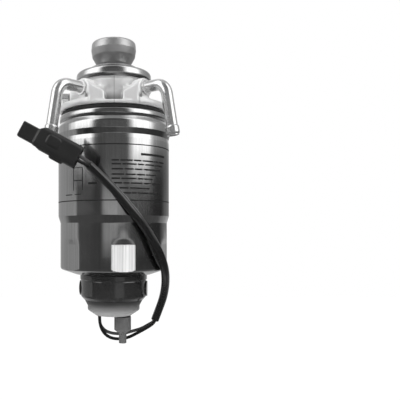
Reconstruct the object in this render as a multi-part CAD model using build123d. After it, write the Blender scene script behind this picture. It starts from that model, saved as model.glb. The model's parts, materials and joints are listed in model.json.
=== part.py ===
from build123d import *

import os
from math import atan2, cos, degrees, hypot, pi, radians, sin, tan

# Diesel fuel filter assembly: a die-cast head with a hand priming pump, a spin-on canister,
# a water sensor with a drain tap under it, and the sensor's lead, tucked in front of a hose tube.
# Lengths are in millimetres. Pieces are drawn about the filter's own axis, with height 0 at the
# gasket's seat on the head, and moved once, at the end, so that the origin is the middle of the
# bracket's two bolt holes, on the bracket's underside. +Z is up and -Y is the front.

# Mounting bracket
bolt_to_axis = 58.0
bolt_spacing = 39.0
bolt_hole_r = 5.5
bracket_foot = 6.3
bracket_half_width = 29.0
bracket_end = 67.6
bracket_corner = 7.0
bracket_pad_t = 9.5
bracket_web_t = 12.5
web_half_width = 2.95
web_flare = 14.0
bracket_step = 40.0

# Head casting
flange_r = 46.0
flange_t = 5.3
recess_floor = 2.6
neck_r = 23.0
bowl_foot = 16.1
bowl_rim = 22.8
bowl_r = 29.9
pump_disc_r = 30.4
clamp_land = 31.0
port_height = 13.0
port_r = 7.6
port_angle = 45.0
port_boss_length = 9.0
passage_r = 3.0
panel_front = 43.5
panel_inner = 7.1
panel_outer = 19.5
panel_low = 9.6
panel_high = 16.2
vent_boss_r = 7.9
vent_boss_end = 36.4
vent_height = 11.3
vent_offset = 3.0

# Priming pump
pump_stroke = 7.0
cover_t = 1.0
cover_r = 31.5
cover_crown = 33.5
well_rim = 37.3
well_rim_r = 19.2
well_floor = 29.5
well_floor_r = 13.6
button_r = 19.0
button_top = 60.4
button_rim = 51.6
button_skirt = 37.5
button_skirt_r = 12.3
button_t = 1.0
dimple_r = 7.6
dimple_depth = 3.0
rod_r = 4.0
diaphragm_t = 1.4
plate_t = 1.0
plate_r = 13.0
chamber_r = 20.0
chamber_floor = 15.5
valve_r = 5.5
valve_height = 6.3
valve_lift = 1.2
valve_x = 11.5
valve_y = 5.5

# Hose tubes
tube_r = 4.5
tube_bore = 3.5
tube_bend = 9.5
tube_socket = 8.0
tube_end = -26.7
tube_splay = 6.2
left_run = 23.2
right_run = 19.8
bead_r = 5.25
bead_length = 7.6

# Canister
can_wall = 0.9
seam_r = 45.5
seam_top = -3.3
seam_foot = -8.8
bulge_r = 47.2
bulge_foot = -19.4
body_r = 46.5
step_top = -86.5
step_foot = -92.2
lower_r = 44.8
can_base = -134.6
base_r = 32.0
flat_r = 43.9
flat_top = -109.4
flat_count = 6
first_flat = 10.0
gasket_r = 44.0
gasket_inner = 37.9
gasket_foot = -4.15
nipple_r = 9.8
nipple_bore = 5.5
element_gap = 4.8
element_r = flat_r - can_wall - element_gap
element_bore = 16.4
element_top = -18.6
element_foot = -113.6
pleat_count = 40
pleat_t = 1.1

# Water sensor and drain
sensor_r = 28.5
sensor_top = -135.1
sensor_chamfer_top = -153.2
sensor_foot = -156.1
spigot_r = 24.5
spigot_top = -125.5
sump_r = 21.0
sump_floor = -151.0
cap_shoulder_r = 25.0
cap_waist = -161.2
cap_r = 21.9
cap_chamfer_top = -164.7
cap_foot = -169.3
cap_foot_r = 15.2
drain_offset = 7.6
drain_r = 7.1
drain_foot = -182.5
drain_pitch = 1.5
drain_travel = 3.0
nozzle_r = 3.2
nozzle_top = -185.0
nozzle_foot = -193.4
stem_offset = -7.0
float_r = 9.0
float_height = 11.0
float_travel = 8.0

# Lead
wire_d = 2.7
sleeve_d = 6.8
plug_angle = 28.4
plug_body_length = 33.7
plug_body_width = 17.5
plug_depth = 11.0
plug_nose_length = 13.5
plug_nose_width = 12.2
plug_nose_offset = -1.0

# Clearances
slip = 0.05
gap = 0.3


def turned(*corners):
    """A solid turned about Z from corners of radius, height and, where rounded, a rounding radius."""
    rounding = [corner[2] if len(corner) == 3 else 0 for corner in corners]
    outline = FilletPolyline(*[corner[:2] for corner in corners], radius=rounding, close=True)
    return revolve(Plane.XZ * make_face(outline), Axis.Z)


def drum(radius, low, high, x=0.0, y=0.0):
    """An upright cylinder between two heights."""
    return Pos(x, y, (low + high) / 2) * Cylinder(radius, high - low)


def ring(inner, outer, low, high, x=0.0, y=0.0):
    """An upright tube between two heights."""
    return drum(outer, low, high, x, y) - drum(inner, low - 1, high + 1, x, y)


def slab(x0, x1, y0, y1, z0, z1):
    """A box between two corners."""
    middle = Pos((x0 + x1) / 2, (y0 + y1) / 2, (z0 + z1) / 2)
    return middle * Box(abs(x1 - x0), abs(y1 - y0), abs(z1 - z0))


def bar(start, end, radius):
    """A round bar from one point to another."""
    span = Vector(*end) - Vector(*start)
    upright = Cylinder(radius, span.length, align=(Align.CENTER, Align.CENTER, Align.MIN))
    return Plane(origin=start, z_dir=span) * upright


def prism(corners, plane, length, rounding=0):
    """A flat outline on a plane, pushed out by a length along the plane's normal."""
    radii = rounding if rounding else [0] * len(corners)
    outline = FilletPolyline(*corners, radius=radii, close=True)
    return extrude(plane * make_face(outline), length)


def coil(mean_r, wire, low, high, turns, x=0.0, y=0.0):
    """A helical spring whose wire lies between two heights."""
    rise = high - low - wire
    path = Helix(pitch=rise / turns, height=rise, radius=mean_r)
    section = Plane(origin=path @ 0, z_dir=path % 0) * Circle(wire / 2)
    return Pos(x, y, low + wire / 2) * sweep(section, path=path)


def arc_radii(points):
    """For each corner of a route, 0.45 of its shorter run over the tangent of half the turn."""
    radii = []
    for before, corner, after in zip(points, points[1:], points[2:]):
        run_in = Vector(*corner) - Vector(*before)
        run_out = Vector(*after) - Vector(*corner)
        half_turn = radians(run_in.get_angle(run_out)) / 2
        radii.append(0.45 * min(run_in.length, run_out.length) / tan(half_turn))
    return radii


def cord(points, diameter):
    """A cord's plain tube: straight runs joined by tangent arcs."""
    path = FilletPolyline(*points, radius=arc_radii(points))
    section = Plane(origin=path @ 0, z_dir=path % 0) * Circle(diameter / 2)
    return sweep(section, path=path)


# Head casting


PORT_X = 24.8
PORT_Y = 38.2
PORT_DX = sin(radians(port_angle))
PORT_DY = cos(radians(port_angle))


def on_port(side, inward):
    """A point on a port's axis, a distance inward from its face."""
    return (side * (PORT_X - inward * PORT_DX), -PORT_Y + inward * PORT_DY, port_height)


def port_boss(side):
    """A hose port: a round boss, a set-back web under it and the slimmer casting round its bore."""
    boss = bar(on_port(side, 0), on_port(side, port_boss_length), port_r)
    pipe = bar(on_port(side, port_boss_length - 1), on_port(side, 22), passage_r + 2)
    outward = Vector(side * PORT_DX, -PORT_DY, 0)
    web_plane = Plane(origin=on_port(side, 3), x_dir=(0, 0, 1), z_dir=-outward)
    web = extrude(web_plane * Pos(-port_height / 2, 0) * Rectangle(port_height, 2 * port_r - 1), 24)
    return boss + pipe + web


def front_panel(side):
    """The upright block beside the pump's neck, with its sloping top."""
    corners = [
        (side * panel_inner, 0),
        (side * panel_inner, panel_low),
        (side * panel_outer, panel_high),
        (side * panel_outer, 0),
    ]
    plane = Plane(origin=(0, -panel_front, 0), x_dir=(1, 0, 0), z_dir=(0, 1, 0))
    # The plane's own Y axis points down here, so heights are turned over.
    flipped = [(x, -z) for x, z in corners]
    return prism(flipped, plane, panel_front - 16, rounding=[0, 2.0, 0, 0])


def bracket():
    """The flat arm with two bolt holes and corner pads sunk beside a flared web.

    It stands on the flange, so its lower face begins at the flange's edge.
    """
    foot = bracket_foot
    web_top = foot + bracket_web_t
    neck_top = web_top + 2.6
    side = [
        (-1, foot),
        (bracket_end, foot),
        (bracket_end, web_top),
        (bracket_step, web_top),
        (bracket_step - 13, neck_top),
        (-1, neck_top),
    ]
    width = 2 * (bracket_half_width + 0.6)
    arm = extrude(Plane.YZ * make_face(Polyline(*side, close=True)), width / 2, both=True)
    rim = bracket_half_width
    plan = prism(
        [(-rim, bracket_step), (rim, bracket_step), (rim, bracket_end), (-rim, bracket_end)],
        Plane.XY,
        60,
        rounding=[0, 0, bracket_corner, bracket_corner],
    )
    inner_plan = slab(-width / 2, width / 2, -5, bracket_step, 0, 60)
    arm = arm & (plan + inner_plan)
    seat = slab(-width / 2, width / 2, 0, flange_r + 1, flange_t - 2, foot + 1)
    arm += seat & drum(flange_r, 0, foot + 2)
    pad_top = foot + bracket_pad_t
    flare_y = bracket_step + web_flare
    flare_x = web_half_width + web_flare
    for side_sign in (-1, 1):
        pad = slab(side_sign * web_half_width, side_sign * 40, flare_y, bracket_end + 5, pad_top, 60)
        pad += slab(side_sign * flare_x, side_sign * 40, bracket_step, flare_y + 1, pad_top, 60)
        pad += drum(web_flare, pad_top, 60, side_sign * flare_x, flare_y)
        arm -= pad
        arm -= drum(bolt_hole_r, 0, 60, side_sign * bolt_spacing / 2, bolt_to_axis)
    return arm


def filter_head():
    """One die casting: flange, neck, pump bowl, two hose ports, vent boss and bracket."""
    core = turned(
        (0, 0),
        (flange_r, 0, 0.5),
        (flange_r, flange_t, 0.9),
        (neck_r, flange_t, 1.5),
        (neck_r, bowl_foot, 1.5),
        (bowl_r, bowl_rim, 0.6),
        (bowl_r, 25.1),
        (pump_disc_r, 25.1),
        (pump_disc_r, clamp_land - 2.6),
        (pump_disc_r - 1.2, clamp_land),
        (0, clamp_land),
    )
    recess = slab(-panel_inner, panel_inner, -60, 0, 0, 40)
    core -= slab(-panel_inner, panel_inner, -60, 0, recess_floor, flange_t + 1) - drum(neck_r, 0, 40)
    core -= slab(-panel_outer, panel_outer, -60, -panel_front, recess_floor, flange_t + 1)
    for side in (-1, 1):
        core += port_boss(side) - recess
        core += front_panel(side)
    vent_start = (-neck_r + 2, -vent_offset, vent_height)
    vent_boss = bar(vent_start, (-vent_boss_end, -vent_offset, vent_height), vent_boss_r)
    core += vent_boss - drum(neck_r - 2, 0, 40)
    core += bracket()
    # Pump chamber, open at the top
    core -= turned(
        (0, chamber_floor),
        (chamber_r, chamber_floor, 2.0),
        (chamber_r, 26, 1.0),
        (23.4, clamp_land),
        (23.4, clamp_land + 10),
        (0, clamp_land + 10),
    )
    for side in (-1, 1):
        # Valve pockets, with the way in or out below each
        core -= drum(valve_r + slip, VALVE_FOOT, chamber_floor + 1, side * valve_x, valve_y)
        core -= bar(on_port(side, -5), on_port(side, 17), passage_r)
        core -= bar(on_port(side, -5), on_port(side, tube_socket), tube_r + slip)
    elbow = on_port(-1, 17)
    low = (elbow[0], elbow[1], 7.0)
    core -= bar(elbow, (elbow[0], elbow[1], 6.0), 2.4)
    core -= bar(low, (-valve_x, valve_y, 7.0), 2.2)
    core -= drum(2.6, 5.5, VALVE_FOOT + 0.5, -valve_x, valve_y)
    core -= drum(3.0, 2.0, VALVE_FOOT + 0.5, valve_x, valve_y)
    # Fuel gallery round the nipple's hole, and the clean fuel's way out
    core -= ring(13.5, 20.5, -1, 3.5)
    core -= drum(nipple_r + slip, -1, 7.5)
    core -= drum(nipple_bore, 7, 12.2)
    core -= bar((0, 0, 9.9), on_port(1, 17), 2.3)
    # Vent, from the gallery to the air plug
    thread_end = (-vent_boss_end + 11, -vent_offset, vent_height)
    core -= bar((-19, -vent_offset, vent_height), thread_end, 1.5)
    core -= bar(thread_end, (-60, -vent_offset, vent_height), VENT_THREAD_R)
    core -= drum(1.5, 2, vent_height, -19, -vent_offset)
    return core


VALVE_FOOT = chamber_floor - 0.7 - valve_height
VENT_THREAD_R = 4.0


# Priming pump


def pump_cover():
    """Drawn steel cover, clenched under the pump body's edge, with a well for the button."""
    crown_r = cover_r - 4.9
    return turned(
        (cover_r + 0.4, 24.2, 0.3),
        (cover_r + 0.4, 27.4, 0.3),
        (cover_r, 27.8),
        (cover_r, cover_crown, 3.2),
        (crown_r, cover_crown, 1.2),
        (well_rim_r + 1.8, well_rim - 0.8, 1.5),
        (well_rim_r + 0.5, well_rim, 0.4),
        (well_rim_r - 0.6, well_rim, 0.4),
        (well_floor_r, well_floor, 1.0),
        (GUIDE_R, well_floor),
        (GUIDE_R, well_floor - cover_t),
        (well_floor_r + 0.7, well_floor - cover_t, 1.6),
        (well_rim_r, well_rim - 1.2, 0.3),
        (well_rim_r + 1.4, well_rim - 1.8),
        (crown_r - 0.3, cover_crown - cover_t, 1.2),
        (cover_r - cover_t, cover_crown - cover_t, 2.2),
        (cover_r - cover_t, 25.0),
        (bowl_r + 0.1, 25.0),
        (bowl_r + 0.1, 24.2),
    )


GUIDE_R = 6.0
ROD_SHOULDER = well_floor - cover_t - gap
UPPER_PLATE_FOOT = ROD_SHOULDER - plate_t
LOWER_PLATE_TOP = UPPER_PLATE_FOOT - diaphragm_t - 2 * slip
ROD_NECK_R = 3.0


def rod_guide():
    """Flanged plastic bush pressed in the well's floor, which guides the pump rod."""
    return turned(
        (rod_r + slip, well_floor - cover_t),
        (GUIDE_R - slip / 5, well_floor - cover_t),
        (GUIDE_R - slip / 5, well_floor + slip),
        (GUIDE_R + 1.6, well_floor + slip),
        (GUIDE_R + 1.6, well_floor + 1.2, 0.3),
        (GUIDE_R, well_floor + 1.6, 0.5),
        (GUIDE_R - 0.6, well_floor + 7),
        (rod_r + slip, well_floor + 7),
    )


def push_button():
    """Drawn steel knob: a rim, a tapered skirt that runs into the well and a dimple for its screw."""
    floor = button_top - dimple_depth
    inner_top = button_top - button_t
    return turned(
        (SCREW_R + slip, floor),
        (dimple_r - 1.8, floor, 0.8),
        (dimple_r, button_top - 0.7, 1.0),
        (button_r - 0.8, button_top, 1.2),
        (button_r, button_rim, 0.6),
        (button_r - 1.0, button_rim - 4.0, 3.0),
        (button_r - 3.9, button_rim - 9.0),
        (button_skirt_r, button_skirt),
        (button_skirt_r - button_t, button_skirt),
        (button_r - 5.0, button_rim - 9.0),
        (button_r - 2.1, button_rim - 4.0, 2.0),
        (button_r - 1.1, button_rim + 0.4),
        (button_r - 1.8, inner_top, 0.5),
        (dimple_r + 0.6, inner_top - 0.6, 0.6),
        (dimple_r - 1.4, floor - button_t, 0.4),
        (SCREW_R + slip, floor - button_t),
    )


SCREW_R = 2.5
WASHER_T = 0.9


def screw_washer():
    """Plain washer under the button's screw."""
    floor = button_top - dimple_depth
    return ring(SCREW_R + 0.2, 5.3, floor, floor + WASHER_T)


def button_screw():
    """Pan-head screw with a cross recess, which holds the button on the pump rod."""
    seat = button_top - dimple_depth + WASHER_T
    head = turned(
        (0, seat),
        (3.8, seat, 0.2),
        (3.8, seat + 1.1, 0.6),
        (2.6, seat + 2.0, 1.0),
        (0, seat + 2.2),
    )
    shank = drum(SCREW_R - slip, seat - 13, seat + 0.5)
    cross = slab(-2.0, 2.0, -0.45, 0.45, seat + 0.9, seat + 4)
    cross += slab(-0.45, 0.45, -2.0, 2.0, seat + 0.9, seat + 4)
    return head + shank - cross


def pump_rod():
    """Steel rod with a shoulder, a thinner end peened over the diaphragm's plates and a tapped top."""
    top = button_top - dimple_depth - button_t
    foot = LOWER_PLATE_TOP - plate_t
    body = turned(
        (0, foot - 1.3),
        (4.6, foot - 1.3, 0.7),
        (4.6, foot - slip, 0.2),
        (ROD_NECK_R, foot - slip),
        (ROD_NECK_R, ROD_SHOULDER + slip),
        (rod_r, ROD_SHOULDER + slip),
        (rod_r, top),
        (0, top),
    )
    return body - drum(SCREW_R, top - 13, top + 1)


def upper_plate():
    """Clamping plate above the diaphragm."""
    return ring(ROD_NECK_R + slip, plate_r, UPPER_PLATE_FOOT, ROD_SHOULDER)


def lower_plate():
    """Clamping plate under the diaphragm, with a turned-down rim."""
    foot = LOWER_PLATE_TOP - plate_t
    return turned(
        (ROD_NECK_R + slip, foot),
        (plate_r - 1, foot, 0.3),
        (plate_r, foot - 0.6, 0.3),
        (plate_r + 0.6, foot - 0.2, 0.2),
        (plate_r - 0.4, LOWER_PLATE_TOP, 0.6),
        (ROD_NECK_R + slip, LOWER_PLATE_TOP),
    )


def diaphragm():
    """Rubber diaphragm, clamped at its rim under the cover and between the rod's plates."""
    top = UPPER_PLATE_FOOT - slip
    clamp_top = cover_crown - cover_t
    return turned(
        (ROD_NECK_R + slip, top - diaphragm_t),
        (plate_r + 1.6, top - diaphragm_t, 1.5),
        (23.0, clamp_land + slip, 1.0),
        (28.3, clamp_land + slip, 0.3),
        (28.3, clamp_top - slip, 0.3),
        (22.8, clamp_top - slip, 1.5),
        (plate_r + 1.4, top, 1.0),
        (ROD_NECK_R + slip, top),
    )


def return_spring():
    """Coil spring round the rod guide, which pushes the button up."""
    return coil(9.4, 1.4, well_floor + slip, button_top - button_t - 0.6, 6)


def check_valve(side):
    """One check valve's seat, disc, spring and cage. The left lets fuel in, the right lets it out."""
    foot = VALVE_FOOT
    top = VALVE_FOOT + valve_height
    seat = ring(2.4, valve_r, foot, foot + 1.5) + ring(2.4, 3.0, foot + 1.4, foot + 1.7)
    disc_foot = foot + 1.7 + slip
    disc = drum(3.7, disc_foot, disc_foot + 1.1)
    cage = turned(
        (valve_r - 0.9, foot + 1.5 + slip),
        (valve_r, foot + 1.5 + slip),
        (valve_r, top, 0.4),
        (0, top),
        (0, top - 1.0),
        (valve_r - 0.9, top - 1.0),
    )
    for index in range(4):
        angle = radians(45 + 90 * index)
        cage -= drum(0.9, top - 3, top + 1, 3.2 * cos(angle), 3.2 * sin(angle))
    spring = coil(2.3, 0.4, disc_foot + 1.1 + slip, top - 1.0 - slip, 2.5)
    pieces = [seat, disc, spring, cage]
    if side > 0:
        middle = (foot + top) / 2
        turn_over = Pos(0, 0, middle) * Rot(180, 0, 0) * Pos(0, 0, -middle)
        pieces = [turn_over * piece for piece in pieces]
    return [Pos(side * valve_x, valve_y, 0) * piece for piece in pieces]


VENT_PLANE = Plane(origin=(-vent_boss_end, -vent_offset, vent_height), x_dir=(0, 1, 0), z_dir=(-1, 0, 0))
WASHER_SEAL_T = 1.4
PLUG_HEAD_T = 5.0


def air_plug_washer():
    """Sealing washer under the air plug's head."""
    seat = VENT_PLANE * Pos(0, 0, WASHER_SEAL_T / 2)
    return seat * (Cylinder(5.7, WASHER_SEAL_T) - Cylinder(VENT_THREAD_R + 0.15, 5))


def air_plug():
    """Hexagon-head plug with a cross recess, in the vent boss."""
    seat = VENT_PLANE * Pos(0, 0, WASHER_SEAL_T)
    head = seat * extrude(RegularPolygon(5.0, 6, major_radius=False), PLUG_HEAD_T)
    head = head & (seat * Pos(0, 0, PLUG_HEAD_T / 2) * Cylinder(5.6, PLUG_HEAD_T + 1))
    shank = seat * Pos(0, 0, -5) * Cylinder(VENT_THREAD_R - slip, 10.5)
    cross = seat * Pos(0, 0, PLUG_HEAD_T) * (Box(5.0, 1.1, 3.0) + Box(1.1, 5.0, 3.0))
    return head + shank - cross


# Hose tubes


def hose_tube(side, run):
    """A bent steel tube: a collar at the port, a long leg down and outwards, and a barbed end."""
    start = on_port(side, tube_socket)
    corner = on_port(side, -run)
    foot = (corner[0] + side * tube_splay, corner[1], tube_end)
    path = FilletPolyline(start, corner, foot, radius=[tube_bend])
    section = Plane(origin=path @ 0, z_dir=path % 0)
    down = (Vector(*foot) - Vector(*corner)).normalized()
    end_plane = Plane(origin=foot, z_dir=-down)
    bead = end_plane * turned(
        (0, 0),
        (tube_r - 0.3, 0, 0.3),
        (bead_r, 1.8, 1.2),
        (bead_r, bead_length - 1.2, 1.2),
        (tube_r - 0.05, bead_length),
        (0, bead_length),
    )
    mouth = end_plane * turned((0, -0.5), (tube_bore + 0.6, -0.5), (tube_bore, 1.6), (0, 1.6))
    collar = bar(on_port(side, -slip), on_port(side, -2.0), tube_r + 1.2)
    tube = sweep(section * Circle(tube_r), path=path) + bead + collar
    bore = sweep(section * Circle(tube_bore), path=path)
    return tube - bore - mouth


# Canister


def pressed_flats(radius):
    """Six wedges outside a flat's distance, each tapering out above."""
    inset = lower_r - flat_r
    cutter = None
    for index in range(flat_count):
        corners = [
            (radius, can_base - 2),
            (radius + 6, can_base - 2),
            (radius + 6, flat_top + 6 * (4.9 / inset)),
            (radius, flat_top),
        ]
        wedge = extrude(Plane.XZ * make_face(Polyline(*corners, close=True)), 13, both=True)
        wedge = Rot(0, 0, -90 + first_flat + 360 / flat_count * index) * wedge
        cutter = wedge if cutter is None else cutter + wedge
    return cutter


def can_shell():
    """Drawn steel can: rolled seam, bulged shoulder, long body, stepped lower end with six flats."""
    outside = turned(
        (0, seam_top),
        (seam_r, seam_top, 0.8),
        (seam_r, seam_foot, 1.0),
        (44.4, seam_foot - 0.5, 0.3),
        (bulge_r, -13.2, 3.5),
        (bulge_r, bulge_foot, 2.0),
        (body_r - 0.25, bulge_foot - 2.8, 2.0),
        (body_r, bulge_foot - 6.2, 2.5),
        (body_r, step_top, 2.0),
        (lower_r, step_foot, 2.0),
        (lower_r, -130.2, 3.2),
        (base_r, can_base, 3.0),
        (0, can_base),
    )
    wall = can_wall
    inside = turned(
        (0, seam_top + 2),
        (LID_R + slip, seam_top + 2),
        (LID_R + slip, seam_foot - 0.8, 0.4),
        (bulge_r - wall, -13.6, 3.0),
        (bulge_r - wall, bulge_foot - 0.4, 2.0),
        (body_r - wall - 0.25, bulge_foot - 3.2, 2.0),
        (body_r - wall, bulge_foot - 6.6, 2.5),
        (body_r - wall, step_top, 2.0),
        (lower_r - wall, step_foot, 2.0),
        (lower_r - wall, -129.8, 2.8),
        (base_r - 0.5, can_base + wall, 3.0),
        (0, can_base + wall),
    )
    shell = (outside - pressed_flats(flat_r)) - (inside - pressed_flats(flat_r - wall))
    return shell - drum(spigot_r + 1.0, can_base - 5, can_base + 5)


LID_R = 43.6


def seam_lid():
    """Pressed lid held in the can's rolled seam, with the gasket's groove."""
    floor = gasket_foot - 0.05
    return turned(
        (30, floor - 0.8),
        (LID_R, floor - 0.8, 0.4),
        (LID_R, seam_top - 0.1),
        (LID_R - 0.8, seam_top - 0.1),
        (LID_R - 0.8, floor),
        (gasket_inner - 0.1, floor),
        (gasket_inner - 0.1, floor + 1.3),
        (gasket_inner - 0.9, floor + 1.3),
        (gasket_inner - 0.9, floor),
        (30, floor),
    )


def sealing_gasket():
    """Rubber gasket between the canister and the head."""
    return turned(
        (gasket_inner, gasket_foot),
        (LID_R - 0.9, gasket_foot),
        (LID_R - 0.9, seam_top + slip),
        (gasket_r, seam_top + slip, 0.4),
        (gasket_r, -0.9, 0.7),
        (gasket_r - 1.0, -slip / 5),
        (gasket_inner, -slip / 5),
    )


PLATE_TOP = gasket_foot - 0.9


def can_top_plate():
    """Thick tapping plate with a threaded collar and eight inlet holes."""
    plate = turned(
        (nipple_r + slip, PLATE_TOP - 9),
        (nipple_r + 3.2, PLATE_TOP - 9, 0.5),
        (nipple_r + 3.2, PLATE_TOP - 4.2, 0.8),
        (LID_R - 1.8, PLATE_TOP - 4.2, 0.8),
        (LID_R - 1.8, PLATE_TOP),
        (nipple_r + slip, PLATE_TOP),
    )
    for index in range(8):
        angle = radians(45 * index)
        plate -= drum(3.0, PLATE_TOP - 8, PLATE_TOP + 2, 22 * cos(angle), 22 * sin(angle))
    return plate


def centre_nipple():
    """Threaded tube that holds the canister on the head and carries clean fuel up."""
    return ring(nipple_bore, nipple_r, -25.0, 7.4)


def element_grommet():
    """Rubber ring that seals the element on the nipple."""
    cap_top = element_top + CAP_T + 0.05
    return turned(
        (nipple_r + slip, element_top - 4),
        (13.8, element_top - 4, 0.5),
        (13.8, cap_top),
        (15.4, cap_top),
        (15.4, cap_top + 1.8, 0.6),
        (nipple_r + slip, cap_top + 1.8),
    )


CAP_T = 0.6


def upper_end_cap():
    """Pressed cap over the element's top, with a collar inside the centre tube."""
    return turned(
        (13.85, element_top - 5),
        (14.45, element_top - 5),
        (14.45, element_top),
        (element_r + 0.3, element_top),
        (element_r + 0.3, element_top - 4),
        (element_r + 0.9, element_top - 4),
        (element_r + 0.9, element_top + CAP_T, 0.4),
        (13.85, element_top + CAP_T),
    )


def lower_end_cap():
    """Pressed cap over the element's foot, with a raised middle and a seat for the spring."""
    foot = element_foot
    return turned(
        (0, foot + 5.0),
        (11.0, foot + 5.0, 1.5),
        (13.5, foot, 1.0),
        (element_r + 0.3, foot),
        (element_r + 0.3, foot + 4),
        (element_r + 0.9, foot + 4),
        (element_r + 0.9, foot - 0.6, 0.5),
        (13.0, foot - 0.6, 1.0),
        (10.6, foot + 4.4, 1.0),
        (0, foot + 4.4),
    )


def centre_tube():
    """Perforated steel tube inside the pleats."""
    tube = ring(14.6, 15.4, element_foot + slip, element_top - slip)
    rows = 4
    for row in range(rows):
        height = element_foot + (element_top - element_foot) * (row + 0.7) / (rows + 0.4)
        for index in range(3):
            angle = radians(60 * index + 30 * (row % 2))
            reach = 20
            across = (reach * cos(angle), reach * sin(angle), height)
            opposite = (-reach * cos(angle), -reach * sin(angle), height)
            tube -= bar(across, opposite, 2.2)
    return tube


def filter_element():
    """Pleated filter paper, one closed star of folds."""
    step = 2 * pi / pleat_count
    outer = []
    inner = []
    for index in range(pleat_count):
        ridge = index * step
        valley = ridge + step / 2
        outer.append((element_r * cos(ridge), element_r * sin(ridge)))
        outer.append(((element_bore + pleat_t) * cos(valley), (element_bore + pleat_t) * sin(valley)))
        inner.append(((element_r - 3.6 * pleat_t) * cos(ridge), (element_r - 3.6 * pleat_t) * sin(ridge)))
        inner.append((element_bore * cos(valley), element_bore * sin(valley)))
    star = make_face(Polyline(*outer, close=True)) - make_face(Polyline(*inner, close=True))
    foot = Pos(0, 0, element_foot + slip)
    return extrude(foot * star, element_top - element_foot - 2 * slip)


def element_spring():
    """Coil spring between the element's foot and the can's base."""
    return coil(31.4, 1.8, can_base + can_wall + slip, element_foot - 0.6 - slip, 2.5)


def base_ring():
    """Threaded ring welded inside the can's base, for the sensor."""
    low = can_base + can_wall + slip
    return ring(spigot_r + slip, 28.6, low, low + 8)


# Water sensor and drain


def sensor_body():
    """Moulded sensor housing: threaded spigot, sump, hand grip with two pads and a line near its top."""
    outside = turned(
        (0, spigot_top),
        (spigot_r, spigot_top, 0.6),
        (spigot_r, sensor_top - 1.9),
        (27.7, sensor_top - 1.9),
        (27.7, sensor_top),
        (sensor_r - 0.2, sensor_top, 0.3),
        (sensor_r - 0.2, sensor_top - 3.8, 0.3),
        (sensor_r - 1.0, sensor_top - 4.5),
        (sensor_r - 0.9, sensor_top - 5.2),
        (sensor_r - 0.9, sensor_chamfer_top, 2.5),
        (cap_shoulder_r, sensor_foot, 0.5),
        (0, sensor_foot),
    )
    pad_height = (sensor_top - 5.2 + sensor_chamfer_top) / 2
    for angle in (-8.0, 172.0):
        out = (sensor_r * cos(radians(angle)), sensor_r * sin(radians(angle)), pad_height)
        root = (20 * cos(radians(angle)), 20 * sin(radians(angle)), pad_height)
        outside += bar(root, out, 6.4)
    sump = turned(
        (0, sump_floor),
        (sump_r, sump_floor, 2.0),
        (sump_r, spigot_top + 1),
        (0, spigot_top + 1),
    )
    body = outside - sump
    body -= drum(cap_r - 1.2, sensor_foot - 3, sensor_foot + 1.6)
    body -= drum(DRAIN_THREAD_R, sensor_foot - 10, sump_floor + 3, drain_offset)
    body -= drum(STEM_R + slip, sensor_foot - 10, sump_floor + 3, stem_offset)
    return body


DRAIN_THREAD_R = 5.0
STEM_R = 3.0


def sensor_seal():
    """O-ring between the sensor's flange and the can's base."""
    middle = sensor_top - 0.7
    return Pos(0, 0, middle) * Torus(26.15, 1.1)


def sensor_cap():
    """Grey moulded cap over the sensor's contacts, with the drain's and the wires' holes."""
    top = sensor_foot + 1.5
    outside = turned(
        (0, top),
        (cap_r - 1.3, top),
        (cap_r - 1.3, sensor_foot - slip),
        (cap_shoulder_r - 0.4, sensor_foot - slip, 0.3),
        (cap_r, cap_waist, 1.5),
        (cap_r, cap_chamfer_top, 2.0),
        (cap_foot_r, cap_foot, 1.5),
        (0, cap_foot),
    )
    inside = turned(
        (0, top + 1),
        (cap_r - 3.0, top + 1),
        (cap_r - 3.0, cap_chamfer_top, 1.5),
        (cap_foot_r - 1.2, cap_foot + 2.0, 1.0),
        (0, cap_foot + 2.0),
    )
    tunnel = ring(DRAIN_THREAD_R, DRAIN_THREAD_R + 1.5, cap_foot + 1, top, drain_offset)
    cap = (outside - inside) + tunnel
    cap -= drum(DRAIN_THREAD_R, cap_foot - 5, top + 5, drain_offset)
    return cap - drum(GROMMET_R, cap_foot - 5, cap_foot + 5, WIRE_X, WIRE_Y)


GROMMET_R = 2.9
WIRE_X = -12.0
WIRE_Y = 4.0


def wire_grommet():
    """Rubber grommet where the two wires leave the cap."""
    body = turned(
        (0, cap_foot - 1.6),
        (GROMMET_R - 0.5, cap_foot - 1.6, 0.4),
        (GROMMET_R + 0.5, cap_foot - 0.02),
        (GROMMET_R - 0.02, cap_foot - 0.02),
        (GROMMET_R - 0.02, cap_foot + 2.6),
        (0, cap_foot + 2.6),
    )
    return Pos(WIRE_X, WIRE_Y, 0) * body


def sensor_stem():
    """Tube that holds the reed switch, up through the sump's floor."""
    return drum(STEM_R, sump_floor - 6, -118.0, stem_offset) + drum(STEM_R + 1.6, sump_floor + slip, sump_floor + 1.6, stem_offset)


def sensor_float():
    """Hollow-looking ring float on the stem."""
    foot = sump_floor + 1.6 + slip
    return Pos(stem_offset, 0, 0) * turned(
        (STEM_R + 0.3, foot),
        (float_r, foot, 1.0),
        (float_r, foot + float_height, 1.0),
        (STEM_R + 0.3, foot + float_height),
    )


def float_clip():
    """Retaining ring near the stem's top."""
    low = sump_floor + 1.6 + float_height + float_travel + 3 * slip
    return ring(STEM_R, STEM_R + 1.8, low, low + 1.2, stem_offset)


SEAL_T = 1.6


def drain_seal():
    """Flat rubber washer under the drain tap's shoulder."""
    return ring(DRAIN_THREAD_R + slip, drain_r - 0.4, cap_foot - slip - SEAL_T, cap_foot - slip, drain_offset)


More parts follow.
